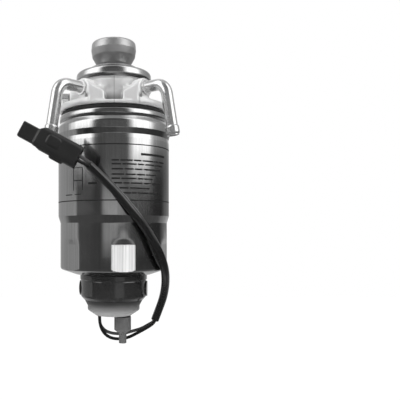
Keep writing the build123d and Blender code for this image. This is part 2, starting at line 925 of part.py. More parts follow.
def drain_tap():
    """Drain tap turned by hand: threaded spigot, round shank, and a cone down to its hose nozzle."""
    shoulder = cap_foot - 2 * slip - SEAL_T
    tap = turned(
        (0, sump_floor - 4.0),
        (DRAIN_THREAD_R - slip, sump_floor - 4.0, 0.6),
        (DRAIN_THREAD_R - slip, shoulder),
        (drain_r, shoulder, 0.4),
        (drain_r, drain_foot + 0.3, 1.0),
        (nozzle_r, nozzle_top),
        (nozzle_r, nozzle_foot, 0.4),
        (0, nozzle_foot),
    )
    tap -= drum(1.6, nozzle_foot - 1, sump_floor - 2)
    return Pos(drain_offset, 0, 0) * tap


# Lead: two wires from the cap to the sleeve, the sleeve, and two tails into the connector

BLACK_WIRE = [
    (-12.0, 2.6, -170.95),
    (-12.1, 2.7, -175.6),
    (-10.0, 5.5, -183.9),
    (-4.9, 8.5, -189.9),
    (2.4, 10.0, -192.2),
    (11.9, 10.0, -191.2),
    (20.9, 9.2, -188.2),
    (29.4, 7.4, -183.0),
    (34.44, 5.47, -177.41),
    (35.24, 4.67, -175.07),
]
GREY_WIRE = [
    (-12.0, 5.4, -170.95),
    (-12.0, 5.6, -175.4),
    (-11.4, 7.0, -179.6),
    (-7.5, 9.6, -184.9),
    (-0.4, 11.4, -187.6),
    (8.0, 12.2, -187.8),
    (16.3, 12.2, -185.5),
    (24.1, 11.4, -181.7),
    (30.4, 10.2, -178.0),
    (34.72, 8.17, -176.58),
    (35.52, 7.37, -174.24),
]
SLEEVE = [
    (35.4, 6.0, -174.6),
    (38.4, 3.0, -165.8),
    (41.9, -4.0, -153.7),
    (42.7, -15.7, -140.0),
    (40.4, -29.9, -126.5),
    (34.2, -38.2, -112.3),
    (25.6, -43.0, -97.9),
    (15.7, -50.0, -85.1),
    (5.0, -52.0, -72.2),
    (-6.9, -54.0, -59.8),
    (-18.5, -61.0, -49.7),
]
GREY_TAIL = [
    (-17.66, -60.89, -48.56),
    (-19.03, -61.71, -47.36),
    (-23.31, -66.0, -44.85),
    (-25.59, -66.0, -43.61),
]
BLACK_TAIL = [
    (-19.42, -61.16, -50.77),
    (-20.79, -61.99, -49.58),
    (-24.92, -66.0, -47.84),
    (-27.21, -66.0, -46.6),
]


PLUG_REAR = (-25.4, -66.0, -45.65)
PLUG_PLANE = Plane(
    origin=PLUG_REAR,
    x_dir=(sin(radians(plug_angle)), 0, cos(radians(plug_angle))),
    z_dir=(-cos(radians(plug_angle)), 0, sin(radians(plug_angle))),
)


# Along the connector and upwards, for what is cut or raised on its broad side
PLUG_SIDE = Plane(
    origin=PLUG_REAR,
    x_dir=(-cos(radians(plug_angle)), 0, sin(radians(plug_angle))),
    z_dir=(0, 1, 0),
)


def rounded_bar(width, depth, rounding, low, high, offset=0.0):
    """A bar of rounded rectangular section along the connector's axis, offset across it."""
    section = PLUG_PLANE * Pos(offset, 0, low) * RectangleRounded(width, depth, rounding)
    return extrude(section, high - low)


def connector_housing():
    """Two-way connector housing: a body bevelled to its collar, a hollow nose and two latches."""
    half = plug_body_width / 2
    end = plug_body_length
    body = rounded_bar(plug_body_width, plug_depth, 4.5, 0, end)
    upper_bevel = [(end - 3.3, half), (end - 3.3, half + 2), (end + 2, half + 2), (end + 2, half - 5.3)]
    lower_bevel = [(end - 5, -half), (end - 5, -half - 2), (end + 2, -half - 2), (end + 2, -half + 2.1)]
    for bevel in (upper_bevel, lower_bevel):
        body -= extrude(PLUG_SIDE * make_face(Polyline(*bevel, close=True)), plug_depth, both=True)
    nose = rounded_bar(plug_nose_width, 8.2, 2.0, end - 1, end + plug_nose_length, plug_nose_offset)
    collar = rounded_bar(plug_nose_width + 1.0, 9.2, 2.4, end - 1, end + 0.8, plug_nose_offset)
    side_latch = extrude(PLUG_SIDE * Pos(14.6, -half, 0) * RectangleRounded(10.3, 3.0, 1.0), 3, both=True)
    tongue = extrude(
        PLUG_SIDE * Pos(21.0, 1.2, -plug_depth / 2 - 0.9) * RectangleRounded(10.0, 7.0, 2.0), 3
    )
    socket = rounded_bar(plug_nose_width - 2.4, 5.8, 1.0, end + 2, end + 20, plug_nose_offset)
    rear = rounded_bar(plug_body_width - 5.0, plug_depth - 4.4, 2.5, -1, 7)
    return body + nose + collar + side_latch + tongue - socket - rear


def terminals():
    """The connector's two pin terminals."""
    pins = None
    root = plug_body_length + 2.02
    for offset in (-1.7, 1.7):
        foot = PLUG_PLANE * Pos(plug_nose_offset + offset, 0, root)
        pin = extrude(foot * Rectangle(1.2, 1.2), plug_nose_length - 5)
        pins = pin if pins is None else pins + pin
    return pins


def wire_seal():
    """Rubber seal in the connector's rear, round the wires."""
    return rounded_bar(plug_body_width - 5.1, plug_depth - 4.5, 2.4, 1.2, 6.98)


PIECES = {}


def add(name, piece):
    PIECES[name] = piece


add("filter_head", filter_head())
add("pump_cover", pump_cover())
add("rod_guide", rod_guide())
add("push_button", push_button())
add("button_screw", button_screw())
add("screw_washer", screw_washer())
add("pump_rod", pump_rod())
add("upper_plate", upper_plate())
add("lower_plate", lower_plate())
add("diaphragm", diaphragm())
add("return_spring", return_spring())
for side, name in ((-1, "inlet"), (1, "outlet")):
    for part, piece in zip(("seat", "disc", "spring", "cage"), check_valve(side)):
        add(name + "_valve_" + part, piece)
add("air_plug_washer", air_plug_washer())
add("air_plug", air_plug())
add("inlet_tube", hose_tube(-1, left_run))
add("outlet_tube", hose_tube(1, right_run))
add("can_shell", can_shell())
add("seam_lid", seam_lid())
add("sealing_gasket", sealing_gasket())
add("can_top_plate", can_top_plate())
add("centre_nipple", centre_nipple())
add("element_grommet", element_grommet())
add("upper_end_cap", upper_end_cap())
add("lower_end_cap", lower_end_cap())
add("centre_tube", centre_tube())
add("filter_element", filter_element())
add("element_spring", element_spring())
add("base_ring", base_ring())
add("sensor_body", sensor_body())
add("sensor_seal", sensor_seal())
add("sensor_cap", sensor_cap())
add("wire_grommet", wire_grommet())
add("sensor_stem", sensor_stem())
add("sensor_float", sensor_float())
add("float_clip", float_clip())
add("drain_seal", drain_seal())
add("drain_tap", drain_tap())
add("black_wire", cord(BLACK_WIRE, wire_d))
add("grey_wire", cord(GREY_WIRE, wire_d))
add("lead_sleeve", cord(SLEEVE, sleeve_d))
add("black_tail", cord(BLACK_TAIL, wire_d))
add("grey_tail", cord(GREY_TAIL, wire_d))
add("connector_housing", connector_housing())
add("connector_terminals", terminals())
add("wire_seal", wire_seal())

os.makedirs("parts", exist_ok=True)
for name, piece in PIECES.items():
    placed = Pos(0, -bolt_to_axis, -bracket_foot) * piece
    export_step(placed, "parts/" + name + ".step")
ROUTES = {
    "black_wire": BLACK_WIRE,
    "grey_wire": GREY_WIRE,
    "lead_sleeve": SLEEVE,
    "black_tail": BLACK_TAIL,
    "grey_tail": GREY_TAIL,
}
for name, points in ROUTES.items():
    print(name, "arc radii", [round(radius, 1) for radius in arc_radii(points)])
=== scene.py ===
import json
from math import radians

import bmesh
import bpy
import numpy as np
from bpy.props import FloatProperty, FloatVectorProperty, IntProperty, PointerProperty
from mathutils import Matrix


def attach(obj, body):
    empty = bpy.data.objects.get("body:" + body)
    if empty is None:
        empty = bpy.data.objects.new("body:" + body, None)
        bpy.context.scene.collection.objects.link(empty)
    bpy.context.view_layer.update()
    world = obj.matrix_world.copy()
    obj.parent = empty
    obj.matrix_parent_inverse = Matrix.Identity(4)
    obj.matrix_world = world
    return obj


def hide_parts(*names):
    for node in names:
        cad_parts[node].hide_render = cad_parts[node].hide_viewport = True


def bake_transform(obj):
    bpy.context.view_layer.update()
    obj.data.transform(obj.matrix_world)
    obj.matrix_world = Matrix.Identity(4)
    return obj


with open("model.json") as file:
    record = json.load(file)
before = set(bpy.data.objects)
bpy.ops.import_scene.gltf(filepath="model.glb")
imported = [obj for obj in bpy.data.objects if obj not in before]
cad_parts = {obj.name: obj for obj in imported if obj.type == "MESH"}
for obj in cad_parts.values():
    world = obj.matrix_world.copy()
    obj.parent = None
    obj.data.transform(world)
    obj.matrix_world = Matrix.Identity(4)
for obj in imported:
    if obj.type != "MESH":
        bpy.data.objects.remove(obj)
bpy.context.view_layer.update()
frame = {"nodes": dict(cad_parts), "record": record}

bl_info = {
    "name": "Fuel filter assembly",
    "version": (1, 0, 0),
    "blender": (4, 5, 0),
    "location": "3D View > Sidebar > Fuel Filter",
    "description": "Dresses a fuel filter with a hand pump: castings, can, tubes, sensor and lead",
    "category": "Object",
}

# Shapes are written in millimetres about the filter's own axis, with height 0 at the gasket's
# seat. The frame's origin lies this far from there.
AXIS_BACK = 58.0
SEAT_UP = 6.3


def in_frame(points):
    """Millimetres about the filter's axis, turned into metres in the frame."""
    placed = np.array(points, dtype=float)
    placed[..., 1] -= AXIS_BACK
    placed[..., 2] -= SEAT_UP
    return placed * 0.001


# Sizes and colours that a user may change


class FilterSizes(bpy.types.PropertyGroup):
    """Sizes of the pieces that Blender makes."""

    wire_diameter: FloatProperty(
        name="Wire diameter",
        description="Outside diameter of each insulated wire",
        default=0.0027,
        min=0.001,
        unit="LENGTH",
    )
    sleeve_diameter: FloatProperty(
        name="Sleeve diameter",
        description="Outside diameter of the sleeve over the two wires",
        default=0.0068,
        min=0.002,
        unit="LENGTH",
    )
    turned_steps: IntProperty(
        name="Steps round",
        description="Faces round each turned surface",
        default=256,
        min=48,
        max=512,
    )
    print_lift: FloatProperty(
        name="Print lift",
        description="How far the printed marks stand off the can",
        default=0.00006,
        min=0.00001,
        unit="LENGTH",
    )


def tone(name, description, light):
    """A colour that a user may change, grey at first."""
    return FloatVectorProperty(
        name=name,
        description=description,
        subtype="COLOR",
        size=3,
        min=0.0,
        max=1.0,
        default=(light, light, light),
    )


class FilterColours(bpy.types.PropertyGroup):
    """Colours of the finishes."""

    casting: tone("Casting", "Die-cast aluminium", 0.88)
    polished: tone("Polished steel", "Pump cover and button", 0.62)
    can: tone("Can", "Drawn steel canister", 0.58)
    plated: tone("Plated steel", "Hose tubes, screws and plugs", 0.78)
    ink: tone("Ink", "Printed marks on the can", 0.015)
    moulding: tone("Black moulding", "Sensor housing and connector", 0.024)
    cap: tone("Grey moulding", "Sensor cap and drain tap", 0.24)


def sizes():
    return bpy.context.scene.filter_sizes


def colours():
    return bpy.context.scene.filter_colours


# Surfaces

# Edges that turn by more degrees than these stay sharp, the second on cords
SHARP_ANGLE = 38
CORD_SHARP_ANGLE = 50
# Points along each rounded corner of a turned outline
ARC_STEPS = 8
# A corner that turns by less than this, in radians, isn't rounded
STRAIGHT = 0.01
# Points closer than this, in metres, are one point
MERGE_DISTANCE = 1e-6


def half_turned(angle):
    """An angle brought between half a turn back and half a turn on."""
    return (angle + np.pi) % (2 * np.pi) - np.pi


def rounded_outline(corners, steps):
    """Corner points of radius, height and rounding, each rounded corner swept as a circular arc.

    The arc starts and ends where the corner's two sides touch its circle, which is the rounding
    times the tangent of half the turn away from the corner.
    """
    flat = np.array([corner[:2] for corner in corners], dtype=float)
    rounding = [corner[2] if len(corner) == 3 else 0.0 for corner in corners]
    outline = []
    count = len(flat)
    for index in range(count):
        corner = flat[index]
        before = flat[index - 1] - corner
        after = flat[(index + 1) % count] - corner
        to_before = before / np.linalg.norm(before)
        to_after = after / np.linalg.norm(after)
        turn = np.pi - np.arccos(np.clip(to_before @ to_after, -1, 1))
        if rounding[index] == 0.0 or turn < STRAIGHT:
            outline.append(corner[None])
            continue
        cut = rounding[index] * np.tan(turn / 2)
        middle = to_before + to_after
        middle = middle / np.linalg.norm(middle)
        centre = corner + middle * rounding[index] / np.cos(turn / 2)
        start = corner + to_before * cut - centre
        end = corner + to_after * cut - centre
        first = np.arctan2(start[1], start[0])
        swing = half_turned(np.arctan2(end[1], end[0]) - first)
        angle = first + swing * np.linspace(0, 1, steps)
        outline.append(centre + rounding[index] * np.stack([np.cos(angle), np.sin(angle)], 1))
    return np.concatenate(outline)


def grid_faces(rows, columns, close_rows=True, close_columns=True):
    """Four corners for each cell of a grid of points, wrapped round where it closes."""
    i = np.arange(rows if close_rows else rows - 1)
    j = np.arange(columns if close_columns else columns - 1)
    i, j = np.meshgrid(i, j, indexing="ij")
    up = (i + 1) % rows
    on = (j + 1) % columns
    corners = np.stack([i * columns + j, up * columns + j, up * columns + on, i * columns + on], -1)
    return corners.reshape(-1, 4)


def mesh_points(mesh):
    """Where a mesh's points lie, as rows of X, Y and Z."""
    points = np.zeros(len(mesh.vertices) * 3)
    mesh.vertices.foreach_get("co", points)
    return points.reshape(-1, 3)


def outward(points, faces):
    """Faces turned so that the closed shape's volume, a sum over its corners, is positive."""
    a, b, c, d = (points[faces[:, k]] for k in range(4))
    volume = np.einsum("ij,ij->i", a, np.cross(b, c)).sum()
    volume += np.einsum("ij,ij->i", a, np.cross(c, d)).sum()
    return faces if volume > 0 else faces[:, ::-1]


def put_in_scene(name, data):
    """An object at the origin, linked to the scene."""
    thing = bpy.data.objects.new(name, data)
    bpy.context.scene.collection.objects.link(thing)
    return thing


def shade_smoothly(mesh, sharp=SHARP_ANGLE):
    """Smooth shading that keeps the edges which turn by more than an angle in degrees."""
    mesh.shade_smooth()
    mesh.set_sharp_from_angle(angle=radians(sharp))


def new_piece(name, points, faces):
    """A mesh object from arrays of points in metres and four-cornered faces."""
    mesh = bpy.data.meshes.new(name)
    mesh.from_pydata(points.tolist(), [], faces.tolist())
    shade_smoothly(mesh)
    return put_in_scene(name, mesh)


def turned(name, corners, reach=None, steps=ARC_STEPS):
    """A closed outline turned about the filter's axis.

    A point is (r cos a, r sin a, z) over the outline's own length and the angle a. reach, where
    given, is a function of r, z and a that returns the radius after pressing or padding.
    """
    outline = rounded_outline(corners, steps)
    angle = np.linspace(0, 2 * np.pi, sizes().turned_steps, endpoint=False)
    radius = outline[:, :1] + 0 * angle[None]
    height = outline[:, 1:] + 0 * angle[None]
    around = angle[None] + 0 * radius
    if reach is not None:
        radius = reach(radius, height, around)
    points = np.stack([radius * np.cos(around), radius * np.sin(around), height], -1)
    flat = in_frame(points.reshape(-1, 3))
    return new_piece(name, flat, outward(flat, grid_faces(*radius.shape)))


# Finishes: groups give values, colours and normals, and the shaders stay in each material

# The heights between which the sensor's cap turns from dark painted shade to pale painted light
CAP_SHADED = -157.0
CAP_LIT = -169.0
# The line where the halves of the casting's die met: its X, half the width of its dark core and
# of its soft edges, and its shade
DIE_LINE = 0.4
DIE_LINE_CORE = 0.2
DIE_LINE_EDGE = 0.6
DIE_LINE_SHADE = 0.72
# The box round the pump's neck with painted shade, darker downwards: low and high X, Y and Z
NECK_BOX = ((-22.0, 22.0), (-41.5, -14.0), (5.0, 24.6))
# The heights between which the painted shade changes, and its shades at the lower and the upper one
NECK_FOOT = 7.0
NECK_TOP = 17.0
NECK_PAINTED_SHADES = (0.42, 1.13)
# The front pressed flat's brushed finish, its light colour a painted sheen
FLAT_PAINTED_SHEEN = 0.95
FLAT_METALLIC = 0.15
FLAT_ROUGHNESS = 0.5
# The grain of mouldings, and how much rougher they are where they are rubbed
MOULDED_GRAIN = 2400.0
MOULDED_RUB = 1.35


def metres_deep(place):
    """A depth about the filter's axis, in metres in the frame."""
    return (place - AXIS_BACK) * 0.001


def metres_high(height):
    """A height over the gasket's seat, in metres in the frame."""
    return (height - SEAT_UP) * 0.001


def feed(tree, socket, value):
    """Sets a socket to a plain value, or links it to another node's output."""
    if isinstance(value, bpy.types.NodeSocket):
        tree.links.new(value, socket)
    else:
        socket.default_value = value


def math_node(tree, operation, first, second=None):
    node = tree.nodes.new("ShaderNodeMath")
    node.operation = operation
    feed(tree, node.inputs[0], first)
    if second is not None:
        feed(tree, node.inputs[1], second)
    return node.outputs[0]


def graded(tree, value, low, high, foot=0.0, top=1.0, soft=False):
    """A value between two limits, turned into one between two others, straight or as an S."""
    step = tree.nodes.new("ShaderNodeMapRange")
    if soft:
        step.interpolation_type = "SMOOTHSTEP"
    labels = ("Value", "From Min", "From Max", "To Min", "To Max")
    for label, limit in zip(labels, (value, low, high, foot, top)):
        feed(tree, step.inputs[label], limit)
    return step.outputs["Result"]


def mixed(tree, kind, share, first, second):
    """The first value or colour where the share is 0, and the second where it is 1."""
    mix = tree.nodes.new("ShaderNodeMix")
    mix.data_type = kind
    for label, value in (("Factor", share), ("A", first), ("B", second)):
        feed(tree, mix.inputs[label], value)
    return mix.outputs["Result"]


def scaled(tree, colour, share):
    """A colour times a changing share."""
    node = tree.nodes.new("ShaderNodeVectorMath")
    node.operation = "SCALE"
    feed(tree, node.inputs[0], colour)
    feed(tree, node.inputs["Scale"], share)
    return node.outputs[0]


def noise(tree, place, scale=1.0, detail=2.0):
    node = tree.nodes.new("ShaderNodeTexNoise")
    feed(tree, node.inputs["Vector"], place)
    feed(tree, node.inputs["Scale"], scale)
    feed(tree, node.inputs["Detail"], detail)
    return node.outputs["Fac"]


def object_place(tree):
    """Where a point lies in its piece, which is where it lies in the frame."""
    return tree.nodes.new("ShaderNodeTexCoord").outputs["Object"]


def object_axes(tree):
    parts = tree.nodes.new("ShaderNodeSeparateXYZ")
    tree.links.new(object_place(tree), parts.inputs[0])
    return parts.outputs


def grey(light):
    return (light, light, light, 1)


def new_group(name, inputs, outputs):
    """An empty node group with named sockets: (name, socket type, default)."""
    group = bpy.data.node_groups.new(name, "ShaderNodeTree")
    for label, kind, default in inputs:
        socket = group.interface.new_socket(label, in_out="INPUT", socket_type=kind)
        socket.default_value = default
    for label, kind in outputs:
        group.interface.new_socket(label, in_out="OUTPUT", socket_type=kind)
    start = group.nodes.new("NodeGroupInput")
    end = group.nodes.new("NodeGroupOutput")
    return group, start.outputs, end.inputs


def build_streaks():
    """Noise stretched along one way, and a shade from it between a dark share and 1."""
    group, given, out = new_group(
        "Fine streaks",
        [
            ("Across", "NodeSocketVector", (1500.0, 1500.0, 12.0)),
            ("Detail", "NodeSocketFloat", 3.0),
            ("Dark", "NodeSocketFloat", 0.85),
        ],
        [("Shade", "NodeSocketFloat")],
    )
    stretch = group.nodes.new("ShaderNodeVectorMath")
    stretch.operation = "MULTIPLY"
    feed(group, stretch.inputs[0], object_place(group))
    feed(group, stretch.inputs[1], given["Across"])
    value = noise(group, stretch.outputs[0], detail=given["Detail"])
    feed(group, out["Shade"], graded(group, value, 0.3, 0.7, given["Dark"], 1.0))


def build_turning_lines():
    """Noise that changes only with the radius about the filter's axis and the height."""
    group, given, out = new_group(
        "Turning lines",
        [("Pitch", "NodeSocketFloat", 2500.0)],
        [("Value", "NodeSocketFloat")],
    )
    axes = object_axes(group)
    depth = math_node(group, "ADD", axes["Y"], AXIS_BACK * 0.001)
    across_squared = math_node(group, "POWER", axes["X"], 2)
    depth_squared = math_node(group, "POWER", depth, 2)
    radius = math_node(group, "SQRT", math_node(group, "ADD", across_squared, depth_squared))
    joined = group.nodes.new("ShaderNodeCombineXYZ")
    feed(group, joined.inputs["X"], math_node(group, "MULTIPLY", radius, given["Pitch"]))
    feed(group, joined.inputs["Y"], math_node(group, "MULTIPLY", axes["Z"], given["Pitch"]))
    feed(group, out["Value"], noise(group, joined.outputs[0]))


def build_grain():
    """A fine grain in the surface, and a broad change of shade."""
    group, given, out = new_group(
        "Cast grain",
        [("Scale", "NodeSocketFloat", 1800.0), ("Depth", "NodeSocketFloat", 0.2)],
        [("Value", "NodeSocketFloat"), ("Normal", "NodeSocketVector")],
    )
    place = object_place(group)
    bump = group.nodes.new("ShaderNodeBump")
    feed(group, bump.inputs["Distance"], 0.0003)
    feed(group, bump.inputs["Strength"], given["Depth"])
    feed(group, bump.inputs["Height"], noise(group, place, given["Scale"], 4.0))
    feed(group, out["Value"], noise(group, place, 90.0))
    feed(group, out["Normal"], bump.outputs["Normal"])


def build_handling_marks():
    """Roughness that lies between a clean and a rubbed one, in patches."""
    group, given, out = new_group(
        "Handling marks",
        [("Clean", "NodeSocketFloat", 0.2), ("Rubbed", "NodeSocketFloat", 0.35)],
        [("Roughness", "NodeSocketFloat")],
    )
    patches = noise(group, object_place(group), 60.0, 6.0)
    spread = graded(group, patches, 0.35, 0.7, given["Clean"], given["Rubbed"])
    feed(group, out["Roughness"], spread)


def build_groups():
    """The groups that the finishes share, built once."""
    if "Fine streaks" in bpy.data.node_groups:
        return
    build_streaks()
    build_turning_lines()
    build_grain()
    build_handling_marks()


def placed_group(tree, name, **values):
    """One of the groups in a material, with its own values by socket name."""
    node = tree.nodes.new("ShaderNodeGroup")
    node.node_tree = bpy.data.node_groups[name]
    for label, value in values.items():
        node.inputs[label].default_value = value
    return node.outputs


def new_finish(name, colour, metallic=0.0, roughness=0.5):
    """A material, its nodes and its Principled shader's sockets with plain values, to refine."""
    finish = bpy.data.materials.new(name)
    finish.use_nodes = True
    shader = finish.node_tree.nodes["Principled BSDF"].inputs
    shader["Base Color"].default_value = (*colour, 1.0)
    shader["Metallic"].default_value = metallic
    shader["Roughness"].default_value = roughness
    return finish, finish.node_tree, shader


def two_tones(tree, colour, value, dark=0.85, light=1.0):
    """A colour between two brightnesses of one colour, led by a changing value."""
    low = (*[channel * dark for channel in colour], 1.0)
    high = (*[min(channel * light, 1.0) for channel in colour], 1.0)
    return mixed(tree, "RGBA", value, low, high)


def rub(tree, shader, clean, rubbed):
    """Handling marks on a finish's roughness."""
    marks = placed_group(tree, "Handling marks", Clean=clean, Rubbed=rubbed)
    feed(tree, shader["Roughness"], marks["Roughness"])


def inside(tree, value, low, high):
    """1 where a value lies between two limits, 0 elsewhere."""
    above = math_node(tree, "GREATER_THAN", value, low)
    return math_node(tree, "MULTIPLY", above, math_node(tree, "LESS_THAN", value, high))


def neck_painted_shade_mask(tree, axes):
    """1 in the box round the pump's neck, where the casting has painted shade, 0 elsewhere."""
    across, depth, height = NECK_BOX
    mask = inside(tree, axes["X"], *(limit * 0.001 for limit in across))
    back = inside(tree, axes["Y"], *map(metres_deep, depth))
    mask = math_node(tree, "MULTIPLY", mask, back)
    return math_node(tree, "MULTIPLY", mask, inside(tree, axes["Z"], *map(metres_high, height)))


def casting_finish():
    """Satin aluminium, fine cast grain, its die's parting line and painted shade at the neck."""
    colour = colours().casting
    finish, tree, shader = new_finish("Satin casting", colour, metallic=0.45, roughness=0.38)
    grain = placed_group(tree, "Cast grain", Scale=2600.0, Depth=0.22)
    base = two_tones(tree, colour, grain["Value"], dark=0.9)
    axes = object_axes(tree)
    aside = math_node(tree, "SUBTRACT", axes["X"], DIE_LINE * 0.001)
    aside = math_node(tree, "ABSOLUTE", aside)
    core, edge = DIE_LINE_CORE * 0.001, DIE_LINE_EDGE * 0.001
    line = graded(tree, aside, core, edge, DIE_LINE_SHADE, soft=True)
    # Painted shade towards the foot of the neck's recess, and painted light towards its top
    foot, top = metres_high(NECK_FOOT), metres_high(NECK_TOP)
    neck_painted_shade = graded(tree, axes["Z"], foot, top, *NECK_PAINTED_SHADES, soft=True)
    shade = mixed(tree, "FLOAT", neck_painted_shade_mask(tree, axes), 1.0, neck_painted_shade)
    feed(tree, shader["Base Color"], scaled(tree, scaled(tree, base, line), shade))
    feed(tree, shader["Normal"], grain["Normal"])
    return finish


def polished_finish(name, metallic, clean, rubbed, shade=1.0):
    """Drawn steel, turned to a shine, with faint lines round it."""
    colour = [channel * shade for channel in colours().polished]
    finish, tree, shader = new_finish(name, colour, metallic=metallic, roughness=clean)
    shader["Anisotropic"].default_value = 0.5
    round_it = tree.nodes.new("ShaderNodeTangent")
    round_it.direction_type = "RADIAL"
    round_it.axis = "Z"
    feed(tree, shader["Tangent"], round_it.outputs[0])
    lines = placed_group(tree, "Turning lines", Pitch=2200.0)
    feed(tree, shader["Base Color"], two_tones(tree, colour, lines["Value"], 0.9, 1.05))
    rub(tree, shader, clean, rubbed)
    return finish


def can_finish():
    """Drawn steel, faint upright streaks, and a brushed front flat with a painted sheen."""
    colour = colours().can
    finish, tree, shader = new_finish("Drawn steel", colour, metallic=1.0, roughness=0.24)
    pitch = (700.0, 700.0, 9.0)
    drawn = placed_group(tree, "Fine streaks", Across=pitch, Detail=4.0, Dark=0.86)
    pitch = (900.0, 900.0, 10.0)
    brushed = placed_group(tree, "Fine streaks", Across=pitch, Detail=5.0, Dark=0.55)
    # The front flat: brushed streaks, and a painted sheen as a light, less metallic colour
    mark = tree.nodes.new("ShaderNodeAttribute")
    mark.attribute_name = "brushed_flat_and_sheen"
    flat = mark.outputs["Fac"]
    shade = mixed(tree, "FLOAT", flat, drawn["Shade"], brushed["Shade"])
    base = mixed(tree, "RGBA", flat, (*colour, 1.0), grey(FLAT_PAINTED_SHEEN))
    feed(tree, shader["Base Color"], scaled(tree, base, shade))
    feed(tree, shader["Metallic"], graded(tree, flat, 0.0, 1.0, 1.0, FLAT_METALLIC))
    marks = placed_group(tree, "Handling marks", Clean=0.13, Rubbed=0.18)
    rough = mixed(tree, "FLOAT", flat, marks["Roughness"], FLAT_ROUGHNESS)
    feed(tree, shader["Roughness"], rough)
    return finish


def plated_finish():
    colour = colours().plated
    finish, tree, shader = new_finish("Bright plating", colour, metallic=0.85, roughness=0.2)
    grain = placed_group(tree, "Cast grain", Scale=900.0, Depth=0.05)
    feed(tree, shader["Base Color"], two_tones(tree, colour, grain["Value"], dark=0.9))
    rub(tree, shader, 0.15, 0.26)
    return finish


def grained_finish(name, colour, scale, depth=0.0, dark=0.85, light=1.0, **values):
    """A plain finish whose colour changes a little, and with a grain where a depth is given."""
    finish, tree, shader = new_finish(name, colour, **values)
    grain = placed_group(tree, "Cast grain", Scale=scale, Depth=depth)
    feed(tree, shader["Base Color"], two_tones(tree, colour, grain["Value"], dark, light))
    if depth:
        feed(tree, shader["Normal"], grain["Normal"])
    return finish, tree, shader


def moulded_finish(name, colour, roughness, depth=0.08, coat=0.0):
    """Moulded plastic or rubber: a fine grain, and a gloss that varies a little over it."""
    finish, tree, shader = grained_finish(
        name, colour, MOULDED_GRAIN, depth, dark=0.8, light=1.15, roughness=roughness
    )
    rub(tree, shader, roughness, roughness * MOULDED_RUB)
    shader["Coat Weight"].default_value = coat
    return finish


def cap_finish():
    """Grey moulding: painted shade at its top, painted light paler towards its foot."""
    colour = colours().cap
    finish, tree, shader = new_finish("Grey cap moulding", colour, roughness=0.45)
    height = object_axes(tree)["Z"]
    # Painted shade high on the cap, giving way to painted light towards its foot
    painted_light_share = graded(tree, height, metres_high(CAP_SHADED), metres_high(CAP_LIT), soft=True)
    grain = placed_group(tree, "Cast grain", Scale=MOULDED_GRAIN, Depth=0.08)
    value = math_node(tree, "ADD", painted_light_share, math_node(tree, "MULTIPLY", grain["Value"], 0.1))
    feed(tree, shader["Base Color"], two_tones(tree, colour, value, dark=0.08, light=1.3))
    feed(tree, shader["Normal"], grain["Normal"])
    return finish


def ink_finish():
    colour = colours().ink
    finish, tree, shader = grained_finish(
        "Printed ink", colour, 3000.0, dark=0.7, light=1.5, roughness=0.6
    )
    shader["Specular IOR Level"].default_value = 0.2
    return finish


def build_finishes():
    """Every finish, by the record's material slot."""
    build_groups()
    steel = grained_finish("Plain steel", (0.5, 0.5, 0.5), 1400.0, metallic=1.0, roughness=0.35)
    paper = grained_finish("Filter paper", (0.72, 0.66, 0.5), 1500.0, 0.3, roughness=0.85)
    brass = new_finish("Brass terminal", (0.62, 0.52, 0.3), metallic=1.0, roughness=0.3)
    tap = [channel * 0.5 for channel in colours().cap]
    polished = polished_finish("Polished steel", metallic=1.0, clean=0.16, rubbed=0.24)
    satin = polished_finish("Satin steel", metallic=0.78, clean=0.34, rubbed=0.42, shade=0.8)
    finishes = {
        "cast_aluminium": casting_finish(),
        "polished_steel": polished,
        "satin_steel": satin,
        "printed_ink": ink_finish(),
        "can_steel": can_finish(),
        "plated_steel": plated_finish(),
        "spring_steel": steel[0],
        "pressed_steel": steel[0],
        "cap_grey": cap_finish(),
        "filter_paper": paper[0],
        "terminal_brass": brass[0],
    }
    # Each moulding's slot, name, colour, roughness, depth of grain and coat of gloss
    for slot, name, colour, roughness, depth, coat in (
        ("black_rubber", "Black rubber", (0.018, 0.018, 0.018), 0.55, 0.15, 0.0),
        ("guide_plastic", "Pale plastic", (0.6, 0.6, 0.58), 0.4, 0.08, 0.0),
        ("valve_plastic", "Valve plastic", (0.3, 0.3, 0.3), 0.4, 0.08, 0.0),
        ("sensor_black", "Glossy black moulding", colours().moulding, 0.14, 0.02, 1.0),
        ("tap_grey", "Grey tap moulding", tap, 0.42, 0.08, 0.0),
        ("float_plastic", "Float plastic", (0.1, 0.1, 0.1), 0.5, 0.08, 0.0),
        ("wire_black", "Black wire", (0.009, 0.009, 0.009), 0.3, 0.03, 0.0),
        ("wire_grey", "Grey wire", (0.07, 0.07, 0.07), 0.35, 0.03, 0.0),
        ("sleeve_black", "Black sleeve", (0.008, 0.008, 0.008), 0.26, 0.02, 0.7),
        ("housing_black", "Connector moulding", (0.016, 0.016, 0.016), 0.34, 0.06, 0.0),
    ):
        finishes[slot] = moulded_finish(name, colour, roughness, depth, coat)
    return finishes


FINISHES = {}


def record_slots():
    """Each CAD node's material slot in the record."""
    return {part["node"]: part["material_slot"] for part in frame["record"]["subparts"]}


def dress(piece, slot, finish=None):
    """Gives a piece the finish of its record's slot, or the finish named instead."""
    piece.data.materials.clear()
    piece.data.materials.append(FINISHES[finish or slot])


# Stage

# The camera's lens, its shifts and its place, for the photo's own view
LENS_LENGTH = 50.4
LENS_SHIFTS = (0.2158, 0.0775)
CAMERA_PLACE = (0.0, -0.532, -0.105)
# The floor's half side, height, points along a side, glow, and how much of it the camera sees
FLOOR_HALF = 1.6
FLOOR_LEVEL = -0.36
FLOOR_POINTS = 9
FLOOR_GLOW = 1.05
FLOOR_GLOW_SHARE = 0.97
# The plain light all round, and the ceiling over the walls: where it starts, ends and its light
SOFT_LIGHT = 0.34
CEILING = (0.88, 0.98, 0.35)
